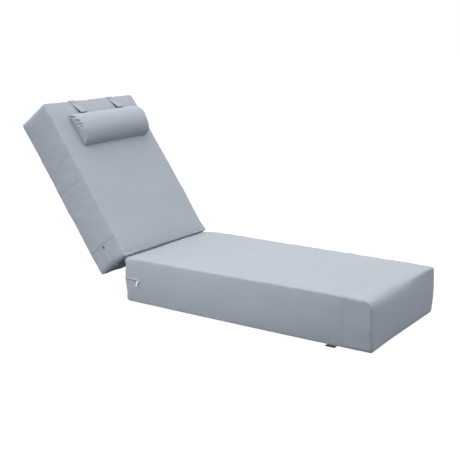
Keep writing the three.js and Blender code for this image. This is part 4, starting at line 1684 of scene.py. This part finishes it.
@dataclass
class LoungerCushion:
    """The whole: builds each sub-assembly in order."""

    finishes: Finishes
    rods: bpy.types.NodeTree = field(default_factory=row_tree)
    hinge: Matrix = field(
        default_factory=lambda: Matrix.Translation((-0.5917, 0, 0.2098)) @ Matrix.Rotation(RECLINE, 4, "Y")
    )
    # The back's slider lies off its solid's place by this much, in the back's frame.
    back_slider_shift: tuple[float, float, float] = (1 * MM, -4 * MM, 12 * MM)
    pull_lean: float = math.radians(22)

    def __post_init__(self) -> None:
        """Sets up the two cushions and the pillow."""
        self.seat = SeatCushion(
            name="seat_cover",
            node="seat_cushion",
            size=(1.204, 0.597, 0.203),
            centre=Matrix.Translation((0, 0, 0.1015)),
            zip_seam=-0.510,
            zip_height=(111 - 101.5) * MM,
            zip_end=-1,
            seed=100,
            cross_depth=0.12 * MM,
            filling=Filling(slack=2 * MM, cap=5 * MM, growth=0.002),
        )
        self.back = BackCushion(
            name="back_cover",
            node="back_cushion",
            size=(0.798, 0.597, 0.195),
            centre=self.hinge @ Matrix.Translation((-0.399, 0, -0.0975)),
            zip_seam=0.399 - 0.100,
            zip_height=(-91 + 97.5) * MM,
            zip_end=1,
            seed=200,
            cross_depth=1.2 * MM,
            seam_lean=0.041,
            filling=Filling(slack=3 * MM, cap=7 * MM, growth=0.003),
        )
        self.pillow = HeadPillow(self.back)

    def covers(self) -> None:
        """Makes the two boxed covers and the pillow's cover."""
        for cushion in (self.seat, self.back):
            cover = cushion.build()
            cushion.finish(cover, self.finishes.cover)
            log.info("%s: %d faces", cover.name, len(cover.data.polygons))
        cover = self.pillow.build()
        put_in_place(cover, self.back.centre, self.finishes.cover)
        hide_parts("head_pillow")
        log.info("%s: %d faces", cover.name, len(cover.data.polygons))

    def straps(self) -> None:
        """Makes the pillow's straps with their stitches."""
        for name, middle in (("strap_left", -115 * MM), ("strap_right", 137 * MM)):
            strap = Strap(name, middle, self.back, self.pillow)
            cloth = strap.build()
            put_in_place(cloth, self.back.centre, self.finishes.cover)
            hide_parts(name)
            paths = strap.stitch_paths()
            stitches = STITCHES.along(f"{name}_stitches", self.rods, paths, self.finishes.thread)
            put_in_place(stitches, self.back.centre, self.finishes.thread)
            log.info("%s: %.0f mm long", name, strap.along[-1] / MM)

    def hinge_strip(self) -> None:
        """Makes the cloth strip in the crease between the two cushions."""
        strip = HingeStrip(self.seat, self.hinge)
        cloth = strip.build()
        put_in_place(cloth, self.hinge, self.finishes.cover)
        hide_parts("hinge_strip")
        strip.width()
        log.info("hinge strip: %.1f mm wide", strip.width() / MM)

    def zips(self) -> None:
        """Makes each zip's flap, tape, teeth and stitches."""
        seat_flap = ZipFlap(
            "seat_zip_flap", self.seat, -1, 95 * MM, gape_at=-538 * MM, lip=1.1 * MM, droop=3 * MM
        )
        back_flap = ZipFlap("back_zip_flap", self.back, 1, 86 * MM, gape_at=375 * MM, lip=2.4 * MM)
        for flap, cover in ((seat_flap, "seat_cover"), (back_flap, "back_cover")):
            pose, half = flap.cushion.centre, flap.height / 2
            cloth, length = flap.build()
            tape = flap.tape()
            row = flap.rows(half - 0.6 * MM, 0.9 * MM)
            teeth = ZIP_TEETH.along(f"{flap.name}_teeth", self.rods, row, self.finishes.teeth)
            sewn = flap.rows(-half + 1.6 * MM, flap.thick + 0.35 * MM) + flap.rows(half + 5 * MM, 0.2 * MM)
            stitches = STITCHES.along(f"{flap.name}_stitches", self.rods, sewn, self.finishes.thread)
            put_in_place(cloth, pose, self.finishes.cover)
            put_in_place(tape, pose, self.finishes.tape)
            put_in_place(teeth, pose, self.finishes.teeth)
            put_in_place(stitches, pose, self.finishes.thread)
            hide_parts(flap.name)
            log.info("%s: %.0f mm long", flap.name, length / MM)

    def sliders(self) -> None:
        """Makes the two sliders and the pale pull at their solids' places, the back's slider off its own."""
        stand = Matrix.Rotation(math.pi / 2, 4, "X")
        for node, frame_of, shift, material, slot in (
            ("seat_zip_slider", self.seat.centre, (0, 0, 0), self.finishes.pull, Slot.PULL),
            ("back_zip_slider", self.back.centre, self.back_slider_shift, self.finishes.slider, Slot.SLIDER),
        ):
            slider = ZipSlider().build(node.replace("_zip", ""))
            turned = frame_of.to_3x3().to_4x4()
            middle = sum((Vector(corner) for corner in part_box(node)), Vector()) / 2
            pose = Matrix.Translation(middle) @ turned @ Matrix.Translation(shift) @ stand
            put_in_place(slider, pose, material)
            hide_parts(node)
        pull = ZipPull().build("seat_pull")
        middle = sum((Vector(corner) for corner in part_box("seat_zip_pull")), Vector()) / 2
        lean = Matrix.Rotation(math.pi / 2 + self.pull_lean, 4, "Y")
        put_in_place(pull, Matrix.Translation(middle) @ lean @ stand, self.finishes.pull)
        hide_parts("seat_zip_pull")

    def webbing(self) -> None:
        """Makes the black webbing end under the seat's near edge."""
        end, flat = WebbingEnd(*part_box("fixing_tab")).build()
        put_in_place(end, Matrix.Identity(4), self.finishes.webbing)
        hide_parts("fixing_tab")


def main() -> None:
    """Builds every piece in order."""
    logging.basicConfig(level=logging.INFO, format="%(message)s")
    Studio().build()
    whole = LoungerCushion(Finishes())
    whole.covers()
    whole.straps()
    whole.hinge_strip()
    whole.zips()
    whole.sliders()
    whole.webbing()


if __name__ == "__main__":
    main()
